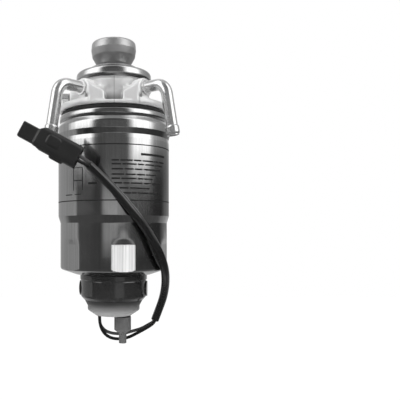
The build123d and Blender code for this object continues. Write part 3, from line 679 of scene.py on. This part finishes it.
# Each lamp's name, place, aim, side and power
LAMPS = (
    ("Key", (-0.7, -0.9, 0.75), (0, -0.058, -0.08), 0.7, 10.0),
    ("Fill", (0.8, -0.8, 0.3), (0, -0.058, -0.08), 0.8, 4.0),
    ("Top", (0.0, 0.3, 0.9), (0, -0.058, -0.05), 0.9, 10.0),
    ("Under", (0.0, -0.2, -0.34), (0, -0.058, -0.16), 0.25, 0.25),
)


def studio_wall(tree, share, stops):
    """A ring of soft boxes and dark walls: brightness against the angle round the object."""
    wall = tree.nodes.new("ShaderNodeValToRGB")
    ramp = wall.color_ramp
    for angle, light in stops[1:-1]:
        ramp.elements.new((angle + 180) / 360).color = grey(light)
    ramp.elements[0].color = grey(stops[0][1])
    ramp.elements[-1].color = grey(stops[-1][1])
    tree.links.new(share, wall.inputs["Fac"])
    return wall.outputs["Color"]


def blended(tree, value, low, high, first, second):
    """One colour up to a low value, another from a high value on, and a smooth change between."""
    return mixed(tree, "RGBA", graded(tree, value, low, high, soft=True), first, second)


# Each wall's light by the angle round the object, 0 in front and growing towards +X, and the two
# heights of the direction between which it gives way to the next wall up
FLOOR_WALL = (
    (-180, 0.5), (-132, 0.45), (-108, 0.1), (0, 0.07), (108, 0.1), (130, 0.35), (180, 0.5),
)
LOWEST_WALL = (
    (-180, 0.9), (-164, 0.5), (-150, 0.36), (-90, 0.36), (-84, 0.5), (-78, 0.08), (-24, 0.06),
    (1, 0.07), (8, 0.4), (33, 0.4), (40, 0.05), (112, 0.05), (128, 0.3), (180, 0.8),
)
SILL_WALL = (
    (-180, 0.9), (-164, 0.5), (-150, 0.36), (-90, 0.36), (-84, 0.5), (-79, 0.08), (-24, 0.06),
    (6, 0.08), (34, 0.1), (60, 0.03), (116, 0.03), (130, 0.2), (180, 0.8),
)
LOWER_WALL = (
    (-180, 0.9), (-164, 0.5), (-150, 0.38), (-90, 0.38), (-84, 0.5), (-79, 0.08), (-26, 0.05),
    (-19, 0.56), (4, 0.56), (12, 0.42), (20, 0.34), (28, 0.14), (40, 0.05), (114, 0.03),
    (130, 0.16), (164, 0.3), (180, 0.8),
)
MIDDLE_WALL = (
    (-180, 0.9), (-164, 0.5), (-150, 0.4), (-104, 0.34), (-92, 0.26), (-84, 0.12), (-70, 0.05),
    (-26, 0.05), (-19, 0.12), (6, 0.12), (24, 0.1), (42, 0.03), (112, 0.02), (130, 0.12),
    (162, 0.3), (180, 0.9),
)
RISING_WALL = (
    (-180, 0.9), (-164, 0.5), (-150, 0.4), (-104, 0.34), (-96, 0.2), (-86, 0.05), (-70, 0.04),
    (-28, 0.07), (0, 0.11), (28, 0.13), (42, 2.0), (72, 2.0), (82, 0.2), (100, 0.1), (140, 0.2),
    (162, 0.4), (180, 0.9),
)
UPPER_WALL = (
    (-180, 1.0), (-160, 0.95), (-146, 0.5), (-104, 0.42), (-94, 1.2), (-80, 2.0), (-48, 2.0),
    (-39, 0.2), (-30, 0.11), (0, 0.12), (29, 0.13), (44, 2.1), (78, 2.1), (89, 0.6), (106, 0.4),
    (140, 0.3), (160, 0.7), (180, 1.0),
)
TOP_WALL = (
    (-180, 1.0), (-160, 0.9), (-146, 0.5), (-104, 0.4), (-96, 1.0), (-84, 2.0), (-54, 2.0),
    (-42, 0.1), (0, 0.06), (34, 0.1), (48, 1.9), (80, 1.9), (92, 0.7), (140, 0.3), (160, 0.7),
    (180, 1.0),
)
WALLS = (
    (-0.24, -0.16, FLOOR_WALL, LOWEST_WALL),
    (-0.085, -0.065, None, SILL_WALL),
    (-0.03, -0.012, None, LOWER_WALL),
    (0.045, 0.075, None, MIDDLE_WALL),
    (0.1, 0.14, None, RISING_WALL),
    (0.138, 0.162, None, UPPER_WALL),
    (0.44, 0.58, None, TOP_WALL),
)


def studio_world():
    """Plain soft light, white behind, and for gloss a studio of soft boxes and darker walls."""
    world = bpy.data.worlds.new("Studio")
    bpy.context.scene.world = world
    world.use_nodes = True
    tree = world.node_tree
    tree.nodes.clear()
    place = tree.nodes.new("ShaderNodeTexCoord")
    parts = tree.nodes.new("ShaderNodeSeparateXYZ")
    tree.links.new(place.outputs["Generated"], parts.inputs[0])
    away = math_node(tree, "MULTIPLY", parts.outputs["Y"], -1)
    turn = math_node(tree, "ARCTAN2", parts.outputs["X"], away)
    share = math_node(tree, "ADD", math_node(tree, "DIVIDE", turn, 2 * np.pi), 0.5)
    height = parts.outputs["Z"]
    walls = None
    for low, high, under, over in WALLS:
        below = studio_wall(tree, share, under) if under else walls
        walls = blended(tree, height, low, high, below, studio_wall(tree, share, over))
    low, high, light = CEILING
    walls = blended(tree, height, low, high, walls, grey(light))
    ray = tree.nodes.new("ShaderNodeLightPath").outputs
    lit = mixed(tree, "RGBA", ray["Is Glossy Ray"], grey(SOFT_LIGHT), walls)
    clear = math_node(tree, "MAXIMUM", ray["Is Camera Ray"], ray["Is Transmission Ray"])
    glow = tree.nodes.new("ShaderNodeBackground")
    feed(tree, glow.inputs["Color"], mixed(tree, "RGBA", clear, lit, grey(1.0)))
    end = tree.nodes.new("ShaderNodeOutputWorld")
    tree.links.new(glow.outputs[0], end.inputs["Surface"])


def studio_floor():
    """A pale floor below the filter, which shows white and keeps a trace of its shadow."""
    line = np.linspace(-FLOOR_HALF, FLOOR_HALF, FLOOR_POINTS)
    x, y = np.meshgrid(line, line, indexing="ij")
    points = np.stack([x, y, 0 * x + FLOOR_LEVEL], -1).reshape(-1, 3)
    faces = grid_faces(FLOOR_POINTS, FLOOR_POINTS, False, False)[:, ::-1]
    floor = new_piece("studio_floor", points, faces)
    floor.visible_glossy = False
    finish, tree, shader = new_finish("Pale floor", (0.9, 0.9, 0.9), roughness=0.9)
    ray = tree.nodes.new("ShaderNodeLightPath").outputs
    glow = tree.nodes.new("ShaderNodeEmission")
    glow.inputs["Strength"].default_value = FLOOR_GLOW
    mix = tree.nodes.new("ShaderNodeMixShader")
    seen = math_node(tree, "MULTIPLY", ray["Is Camera Ray"], FLOOR_GLOW_SHARE)
    tree.links.new(seen, mix.inputs["Fac"])
    tree.links.new(tree.nodes["Principled BSDF"].outputs[0], mix.inputs[1])
    tree.links.new(glow.outputs[0], mix.inputs[2])
    tree.links.new(mix.outputs[0], tree.nodes["Material Output"].inputs["Surface"])
    floor.data.materials.append(finish)


def studio_lamp(name, place, aim, side, power):
    """A square soft lamp, turned towards its aim."""
    light = bpy.data.lights.new(name, "AREA")
    light.shape = "RECTANGLE"
    light.size = side
    light.size_y = side
    light.energy = power
    lamp = put_in_scene(name, light)
    lamp.location = place
    toward = np.array(aim) - np.array(place)
    tilt = np.arccos(-toward[2] / np.linalg.norm(toward))
    lamp.rotation_euler = (tilt, 0, np.arctan2(toward[1], toward[0]) - np.pi / 2)
    lamp.visible_glossy = False


class FILTER_OT_stage(bpy.types.Operator):
    """Camera, floor, lamps and surroundings."""

    bl_idname = "fuel_filter.stage"
    bl_label = "Set the stage"

    def execute(self, context):
        lens = bpy.data.cameras.new("Camera")
        lens.lens = LENS_LENGTH
        lens.sensor_width = 36
        lens.shift_x, lens.shift_y = LENS_SHIFTS
        lens.clip_start = 0.01
        camera = put_in_scene("Camera", lens)
        camera.location = CAMERA_PLACE
        camera.rotation_euler = (radians(90), 0, 0)
        context.scene.camera = camera
        studio_world()
        studio_floor()
        for lamp in LAMPS:
            studio_lamp(*lamp)
        context.scene.view_settings.view_transform = "Standard"
        return {"FINISHED"}


# Lead. Each route's points are in millimetres about the filter's axis.

BLACK_WIRE = (
    (-12.0, 2.6, -170.95), (-12.1, 2.7, -175.6), (-10.0, 5.5, -183.9), (-4.9, 8.5, -189.9),
    (2.4, 10.0, -192.2), (11.9, 10.0, -191.2), (20.9, 9.2, -186.4), (29.4, 7.4, -181.4),
    (34.44, 5.47, -177.41), (35.24, 4.67, -175.07),
)
GREY_WIRE = (
    (-12.0, 5.4, -170.95), (-12.0, 5.6, -175.4), (-11.4, 7.0, -179.6), (-7.5, 9.6, -184.9),
    (-0.4, 11.4, -187.6), (8.0, 12.2, -187.8), (16.3, 12.2, -185.5), (24.1, 11.4, -183.2),
    (30.4, 10.2, -179.3), (34.72, 8.17, -176.58), (35.52, 7.37, -174.24),
)
SLEEVE = (
    (35.4, 6.0, -174.6), (38.4, 3.0, -165.8), (41.9, -4.0, -153.7), (42.7, -15.7, -140.0),
    (40.4, -29.9, -126.5), (34.2, -38.2, -112.3), (25.6, -43.0, -97.9), (15.7, -50.0, -85.1),
    (5.0, -52.0, -72.2), (-6.9, -54.0, -59.8), (-18.5, -61.0, -49.7),
)
GREY_TAIL = (
    (-17.66, -60.89, -48.56), (-19.03, -61.71, -47.36), (-23.31, -66.0, -44.85),
    (-25.59, -66.0, -43.61),
)
BLACK_TAIL = (
    (-19.42, -61.16, -50.77), (-20.79, -61.99, -49.58), (-24.92, -66.0, -47.84),
    (-27.21, -66.0, -46.6),
)


def smooth_cord(name, route, diameter, slot):
    """A cord as one smooth tube led by its route's points, and the points of its own line.

    Its line is a B-spline of order 3 that starts and ends at the route's ends.
    """
    points = in_frame(route)
    curve = bpy.data.curves.new(name, "CURVE")
    curve.dimensions = "3D"
    spline = curve.splines.new("NURBS")
    spline.points.add(len(points) - 1)
    spline.points.foreach_set("co", np.column_stack([points, np.ones(len(points))]).ravel())
    spline.order_u = 3
    spline.use_endpoint_u = True
    spline.resolution_u = 12
    guide = put_in_scene(name, curve)
    bare = bpy.data.meshes.new_from_object(guide)
    line = mesh_points(bare)
    bpy.data.meshes.remove(bare)
    curve.bevel_depth = diameter / 2
    curve.bevel_resolution = 6
    curve.use_fill_caps = True
    tube = bpy.data.meshes.new_from_object(guide)
    bpy.data.objects.remove(guide)
    bpy.data.curves.remove(curve)
    work = bmesh.new()
    work.from_mesh(tube)
    bmesh.ops.remove_doubles(work, verts=work.verts, dist=MERGE_DISTANCE)
    bmesh.ops.recalc_face_normals(work, faces=work.faces)
    work.to_mesh(tube)
    work.free()
    shade_smoothly(tube, CORD_SHARP_ANGLE)
    piece = put_in_scene(name, tube)
    dress(piece, slot)
    return piece, line


class FILTER_OT_lead(bpy.types.Operator):
    """Two wires, their sleeve and the two short tails into the connector."""

    bl_idname = "fuel_filter.lead"
    bl_label = "Make the lead"

    def execute(self, context):
        wire = sizes().wire_diameter
        for name, node, route, slot in (
            ("lead_grey_tail", "grey_tail", GREY_TAIL, "wire_grey"),
            ("lead_black_tail", "black_tail", BLACK_TAIL, "wire_black"),
        ):
            tail = smooth_cord(name, route, wire, slot)[0]
            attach(tail, "head")
            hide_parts(node)
        thick = sizes().sleeve_diameter
        sleeve, line = smooth_cord("lead_sleeve_tube", SLEEVE, thick, "sleeve_black")
        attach(sleeve, "head")
        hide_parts("lead_sleeve")
        plug = [bpy.data.objects["connector_housing_eased"]]
        plug += [frame["nodes"][name] for name in ("connector_terminals", "wire_seal")]
        tuple(in_frame(SLEEVE[0]))
        for name, node, route, slot in (
            ("lead_black_wire", "black_wire", BLACK_WIRE, "wire_black"),
            ("lead_grey_wire", "grey_wire", GREY_WIRE, "wire_grey"),
        ):
            piece, line = smooth_cord(name, route, wire, slot)
            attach(piece, "head")
            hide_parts(node)
            tuple(in_frame(route[0]))
        return {"FINISHED"}


# Canister

# The can's wall, how far out its body and its lower part reach, and its top and bottom
CAN_WALL = 0.9
CAN_REACH = 46.5
LOWER_REACH = 44.8
CAN_TOP = -3.3
CAN_BOTTOM = -134.6
# Points along each rounded corner of the can
CAN_ARC_STEPS = 7
# The six pressed flats: their directions, their distance from the axis, the height they keep it
# up to, and the height by which they reach the lower part's own
SIX_FLATS = np.radians(-90 + 10.0 + 60 * np.arange(6))
FLAT_REACH = 43.9
FLAT_TOP = -109.4
FLAT_BLEND = -104.5
# How many such steps their limit moves out further up, which clears the can's widest part
FLAT_CLEAR = 8
# How near a flat's own points lie to it, how far over its top, and within what angle of its middle
ON_FLAT = (0.02, 0.2, 0.5)


def flat_angle(around):
    """The angle from each direction to the middle of its nearest flat."""
    return np.abs(half_turned(around[..., None] - SIX_FLATS)).min(axis=-1)


def flat_limit(height, around, wall):
    """How far out a pressed flat lets the wall stand: its distance over the angle's cosine."""
    rise = np.clip((height - FLAT_TOP) / (FLAT_BLEND - FLAT_TOP), 0, FLAT_CLEAR)
    distance = FLAT_REACH + rise * (LOWER_REACH - FLAT_REACH) - wall
    return distance / np.cos(flat_angle(around))


def can_surface():
    """The can, its wall followed down outside and back up inside, with six flats pressed in."""
    outside = [
        (43.65, CAN_TOP),
        (45.5, CAN_TOP, 1.8),
        (45.5, -8.8, 2.6),
        (44.4, -9.3, 0.3),
        (47.2, -13.2, 3.5),
        (47.2, -19.2, 2.4),
        (46.2, -23.4, 3.0),
        (CAN_REACH, -26.6, 2.5),
        (CAN_REACH, -55.0),
        (CAN_REACH, -86.5, 2.0),
        (LOWER_REACH, -92.2, 2.0),
        (LOWER_REACH, -104.0),
        (LOWER_REACH, -106.0),
        (LOWER_REACH, -109.0),
        (LOWER_REACH, -109.8),
        (LOWER_REACH, -118.0),
        (LOWER_REACH, -130.2, 2.3),
        (32.0, CAN_BOTTOM, 3.0),
        (25.5, CAN_BOTTOM),
    ]
    inside = [
        (25.5, CAN_BOTTOM + CAN_WALL),
        (31.5, CAN_BOTTOM + CAN_WALL, 3.0),
        (LOWER_REACH - CAN_WALL, -129.8, 2.8),
        (LOWER_REACH - CAN_WALL, -109.0),
        (LOWER_REACH - CAN_WALL, -92.2, 2.0),
        (CAN_REACH - CAN_WALL, -86.5, 2.0),
        (CAN_REACH - CAN_WALL, -27.0, 2.5),
        (45.3, -23.6, 2.0),
        (46.3, -19.6, 2.0),
        (46.3, -13.6, 3.0),
        (43.65, -9.6, 0.4),
    ]
    points_outside = len(rounded_outline(outside, CAN_ARC_STEPS))

    def pressed(radius, height, around):
        wall = np.zeros_like(radius)
        wall[points_outside:] = CAN_WALL
        return np.minimum(radius, flat_limit(height, around, wall))

    piece = turned("canister_can", outside + inside, reach=pressed, steps=CAN_ARC_STEPS)
    points = mesh_points(piece.data) * 1000 + (0, AXIS_BACK, SEAT_UP)
    around = np.arctan2(points[:, 1], points[:, 0])
    reach = np.hypot(points[:, 0], points[:, 1]) * np.cos(flat_angle(around))
    # Marks the front flat alone, for its brushed finish and painted sheen
    near, over, aside = ON_FLAT
    flat = (np.abs(reach - FLAT_REACH) < near) & (points[:, 2] < FLAT_TOP + over)
    front = np.abs(half_turned(around - SIX_FLATS[0])) < aside
    mark = piece.data.attributes.new("brushed_flat_and_sheen", "FLOAT", "POINT")
    mark.data.foreach_set("value", (flat & front).astype(np.float32))
    return piece


# The print's depth in the can, the heights of its two lines, and half a line's and a bar's width
PRINT_SINK = 0.1
PRINT_LINES = (-32.0, -75.0)
LINE_HALF = 0.4
BAR_HALF = 0.6
# The angle where each row of bars starts and the gap between two bars, in degrees
BAR_START = -2.0
BAR_GAP = 1.3
# Each row's height, then how many degrees each of its bars takes
BAR_ROWS = (
    (-44.4, (7, 12, 8, 13, 6, 9)),
    (-47.3, (9, 14, 7, 11, 12)),
    (-51.1, (11, 9, 8, 14, 7)),
    (-55.2, (12, 10, 9, 12)),
    (-58.4, (8, 15, 6, 10)),
    (-61.9, (10, 6, 12, 9, 11)),
    (-65.7, (6, 9, 13, 7)),
    (-69.5, (9, 8, 5, 12, 10)),
)
# The other marks: first and last angle, foot and top
SIDE_MARKS = (
    (27.0, 61.0, -40.2, -38.4), (-43.0, -42.2, -67.0, -49.0), (-31.8, -31.0, -67.0, -49.0),
    (-43.0, -31.0, -49.6, -49.0), (-42.2, -31.8, -59.6, -59.0), (-41.0, -33.0, -70.4, -69.8),
    (-55.0, -45.0, -70.6, -69.8), (-25.0, -16.0, -62.6, -61.2),
)


def printed_strip(first, last, foot, top):
    """Points and faces of one thin closed strip on the can, between two angles in degrees.

    The angle is 0 at the front and grows towards +X, and a point is (r sin a, -r cos a, z).
    """
    outside = CAN_REACH + sizes().print_lift * 1000
    sunk = CAN_REACH - PRINT_SINK
    radius = np.array([sunk, outside, outside, sunk])[:, None]
    height = np.array([foot, foot, top, top])[:, None]
    whole = last - first >= 360
    steps = max(int((last - first) / 2), 2) + 1
    angle = np.radians(np.linspace(first, last, steps, endpoint=not whole))[None]
    points = np.stack([radius * np.sin(angle), -radius * np.cos(angle), height + 0 * angle], -1)
    faces = grid_faces(4, steps, True, whole)
    if not whole:
        rows = np.arange(4) * steps
        faces = np.concatenate([faces, [rows[::-1], rows + steps - 1]])
    points = in_frame(points.reshape(-1, 3))
    return points, outward(points - points.mean(axis=0), faces)


def printed_marks():
    """Plain lines and bars where the can is printed, as one piece of thin strips."""
    strips = [(0, 360, height - LINE_HALF, height + LINE_HALF) for height in PRINT_LINES]
    strips += SIDE_MARKS
    for height, widths in BAR_ROWS:
        ends = np.cumsum(np.array(widths) + BAR_GAP) + BAR_START
        strips += [
            (end - BAR_GAP - width, end - BAR_GAP, height - BAR_HALF, height + BAR_HALF)
            for end, width in zip(ends, widths)
        ]
    pieces = [printed_strip(*strip) for strip in strips]
    offsets = np.cumsum([0] + [len(points) for points, faces in pieces[:-1]])
    points = np.concatenate([points for points, faces in pieces])
    faces = np.concatenate([faces + offset for (_, faces), offset in zip(pieces, offsets)])
    return new_piece("printed_marks", points, faces)


class FILTER_OT_canister(bpy.types.Operator):
    """The can's polished shell and the plain marks printed on it."""

    bl_idname = "fuel_filter.canister"
    bl_label = "Make the canister"

    def execute(self, context):
        can = can_surface()
        dress(can, "can_steel")
        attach(can, "head")
        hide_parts("can_shell")
        marks = printed_marks()
        dress(marks, "can_steel", "printed_ink")
        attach(marks, "head")
        return {"FINISHED"}


# Copies of solids whose edges are eased, and of the springs and the diaphragm

# Each solid's grid in metres, and how many times it is smoothed
EASED = {"filter_head": (0.0009, 5), "connector_housing": (0.00045, 4)}
# Each flexible solid's two bodies, the first at its start, and whether it starts at its foot
FLEXIBLE = {
    "return_spring": ("head", "button", True),
    "inlet_valve_spring": ("inlet_disc", "head", True),
    "outlet_valve_spring": ("outlet_disc", "head", False),
    "diaphragm": ("button", "head", True),
}


def own_copy(name, ending):
    """A merged copy of one solid's mesh, at the origin, to be shaped further."""
    source = frame["nodes"][name]
    work = bmesh.new()
    work.from_mesh(source.data)
    work.transform(source.matrix_world)
    bmesh.ops.remove_doubles(work, verts=work.verts, dist=MERGE_DISTANCE)
    mesh = bpy.data.meshes.new(name + ending)
    work.to_mesh(mesh)
    work.free()
    return put_in_scene(name + ending, mesh)


class FILTER_OT_mouldings(bpy.types.Operator):
    """The die casting and the connector, their edges eased as a mould leaves them."""

    bl_idname = "fuel_filter.mouldings"
    bl_label = "Ease the edges"

    def execute(self, context):
        slots = record_slots()
        for name, (step, times) in EASED.items():
            piece = own_copy(name, "_eased")
            grid = piece.modifiers.new("Even grid", "REMESH")
            grid.mode = "VOXEL"
            grid.voxel_size = step
            ease = piece.modifiers.new("Eased edges", "SMOOTH")
            ease.factor = 0.5
            ease.iterations = times
            shaped = piece.evaluated_get(context.evaluated_depsgraph_get())
            piece.data = bpy.data.meshes.new_from_object(shaped)
            piece.modifiers.clear()
            piece.data.shade_smooth()
            dress(piece, slots[name])
            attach(piece, "head")
            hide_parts(name)
        return {"FINISHED"}


class FILTER_OT_flexible(bpy.types.Operator):
    """Copies of the springs and the diaphragm, smoothly shaded, dressed and set in place."""

    bl_idname = "fuel_filter.flexible"
    bl_label = "Let the springs give"

    def execute(self, context):
        slots = record_slots()
        for name, (first, second, from_foot) in FLEXIBLE.items():
            piece = own_copy(name, "_giving")
            shade_smoothly(piece.data)
            dress(piece, slots[name])
            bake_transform(piece)
            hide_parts(name)
        return {"FINISHED"}


# Priming pump

# Heights of the drawn cover and button, and the wall of both
DRAWN_WALL = 1.0
COVER_FOOT = 24.2
WELL_FLOOR = 29.5
COVER_CROWN = 33.5
COVER_RIM = 37.7
BUTTON_FOOT = 37.5
BUTTON_NECK = 42.6
BUTTON_WAIST = 47.6
BUTTON_RIM = 53.2
DIMPLE_FLOOR = 57.4
BUTTON_TOP = 60.4
# Radii of the hole for the rod's guide, the hole for the screw and the cover's side
GUIDE_HOLE = 6.0
SCREW_HOLE = 2.55
COVER_REACH = 31.5


def cover_surface():
    """The drawn cover: its clenched edge, crown, raised rim and the well inside it."""
    corners = [
        (31.4, COVER_FOOT, 0.3),
        (31.9, 27.3, 0.3),
        (COVER_REACH, 27.8),
        (COVER_REACH, COVER_CROWN, 3.2),
        (26.6, COVER_CROWN, 1.2),
        (21.0, 36.5, 0.8),
        (20.2, COVER_RIM, 0.5),
        (18.7, COVER_RIM, 0.4),
        (13.6, WELL_FLOOR, 1.0),
        (GUIDE_HOLE, WELL_FLOOR),
        (GUIDE_HOLE, WELL_FLOOR - DRAWN_WALL),
        (14.3, WELL_FLOOR - DRAWN_WALL, 1.6),
        (19.2, 36.1, 0.3),
        (20.6, 35.5),
        (26.3, COVER_CROWN - DRAWN_WALL, 1.2),
        (COVER_REACH - DRAWN_WALL, COVER_CROWN - DRAWN_WALL, 2.2),
        (COVER_REACH - DRAWN_WALL, 25.0),
        (30.0, 25.0),
        (30.0, COVER_FOOT),
    ]
    return turned("pump_cover_drawn", corners)


def button_surface():
    """The drawn button: a dimple for its screw, a rim and a skirt that narrows into the well."""
    corners = [
        (SCREW_HOLE, DIMPLE_FLOOR),
        (5.8, DIMPLE_FLOOR, 0.8),
        (7.6, BUTTON_TOP - 0.7, 1.0),
        (18.3, BUTTON_TOP, 2.8),
        (18.9, BUTTON_RIM, 0.4),
        (18.0, BUTTON_WAIST, 3.0),
        (15.1, BUTTON_NECK),
        (12.3, BUTTON_FOOT, 0.3),
        (11.3, BUTTON_FOOT, 0.3),
        (14.0, BUTTON_NECK),
        (16.9, BUTTON_WAIST, 2.0),
        (17.8, BUTTON_RIM),
        (17.2, BUTTON_TOP - DRAWN_WALL, 1.8),
        (8.2, BUTTON_TOP - 1.6, 0.6),
        (6.2, DIMPLE_FLOOR - DRAWN_WALL, 0.4),
        (SCREW_HOLE, DIMPLE_FLOOR - DRAWN_WALL),
    ]
    return turned("push_button_drawn", corners)


class FILTER_OT_pump(bpy.types.Operator):
    """The priming pump's cover and button."""

    bl_idname = "fuel_filter.pump"
    bl_label = "Make the pump"

    def execute(self, context):
        cover = cover_surface()
        dress(cover, "polished_steel")
        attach(cover, "head")
        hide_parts("pump_cover")
        button = button_surface()
        dress(button, "polished_steel", "satin_steel")
        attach(button, "button")
        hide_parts("push_button")
        return {"FINISHED"}


class FILTER_OT_finishes(bpy.types.Operator):
    """Gives every piece that the frame brings its finish."""

    bl_idname = "fuel_filter.finishes"
    bl_label = "Apply the finishes"

    def execute(self, context):
        FINISHES.update(build_finishes())
        slots = record_slots()
        for name, piece in frame["nodes"].items():
            for seat in piece.material_slots:
                seat.material = FINISHES[slots[name]]
        for name in ("inlet_tube", "outlet_tube"):
            frame["nodes"][name].visible_glossy = False
        return {"FINISHED"}


class FILTER_PT_panel(bpy.types.Panel):
    """Lists the sizes, the colours and the steps."""

    bl_label = "Fuel filter"
    bl_idname = "FILTER_PT_panel"
    bl_space_type = "VIEW_3D"
    bl_region_type = "UI"
    bl_category = "Fuel Filter"

    def draw(self, context):
        layout = self.layout
        for group in (context.scene.filter_sizes, context.scene.filter_colours):
            for label in group.__annotations__:
                layout.prop(group, label)
        for step in STEPS:
            layout.operator(step.bl_idname)


STEPS = (
    FILTER_OT_finishes,
    FILTER_OT_stage,
    FILTER_OT_mouldings,
    FILTER_OT_lead,
    FILTER_OT_canister,
    FILTER_OT_flexible,
    FILTER_OT_pump,
)
CLASSES = (FilterSizes, FilterColours, *STEPS, FILTER_PT_panel)


def register():
    for item in CLASSES:
        bpy.utils.register_class(item)
    bpy.types.Scene.filter_sizes = PointerProperty(type=FilterSizes)
    bpy.types.Scene.filter_colours = PointerProperty(type=FilterColours)


def unregister():
    del bpy.types.Scene.filter_sizes
    del bpy.types.Scene.filter_colours
    for item in reversed(CLASSES):
        bpy.utils.unregister_class(item)


def main():
    register()
    for step in STEPS:
        group, name = step.bl_idname.split(".")
        getattr(getattr(bpy.ops, group), name)()


if __name__ == "__main__":
    main()
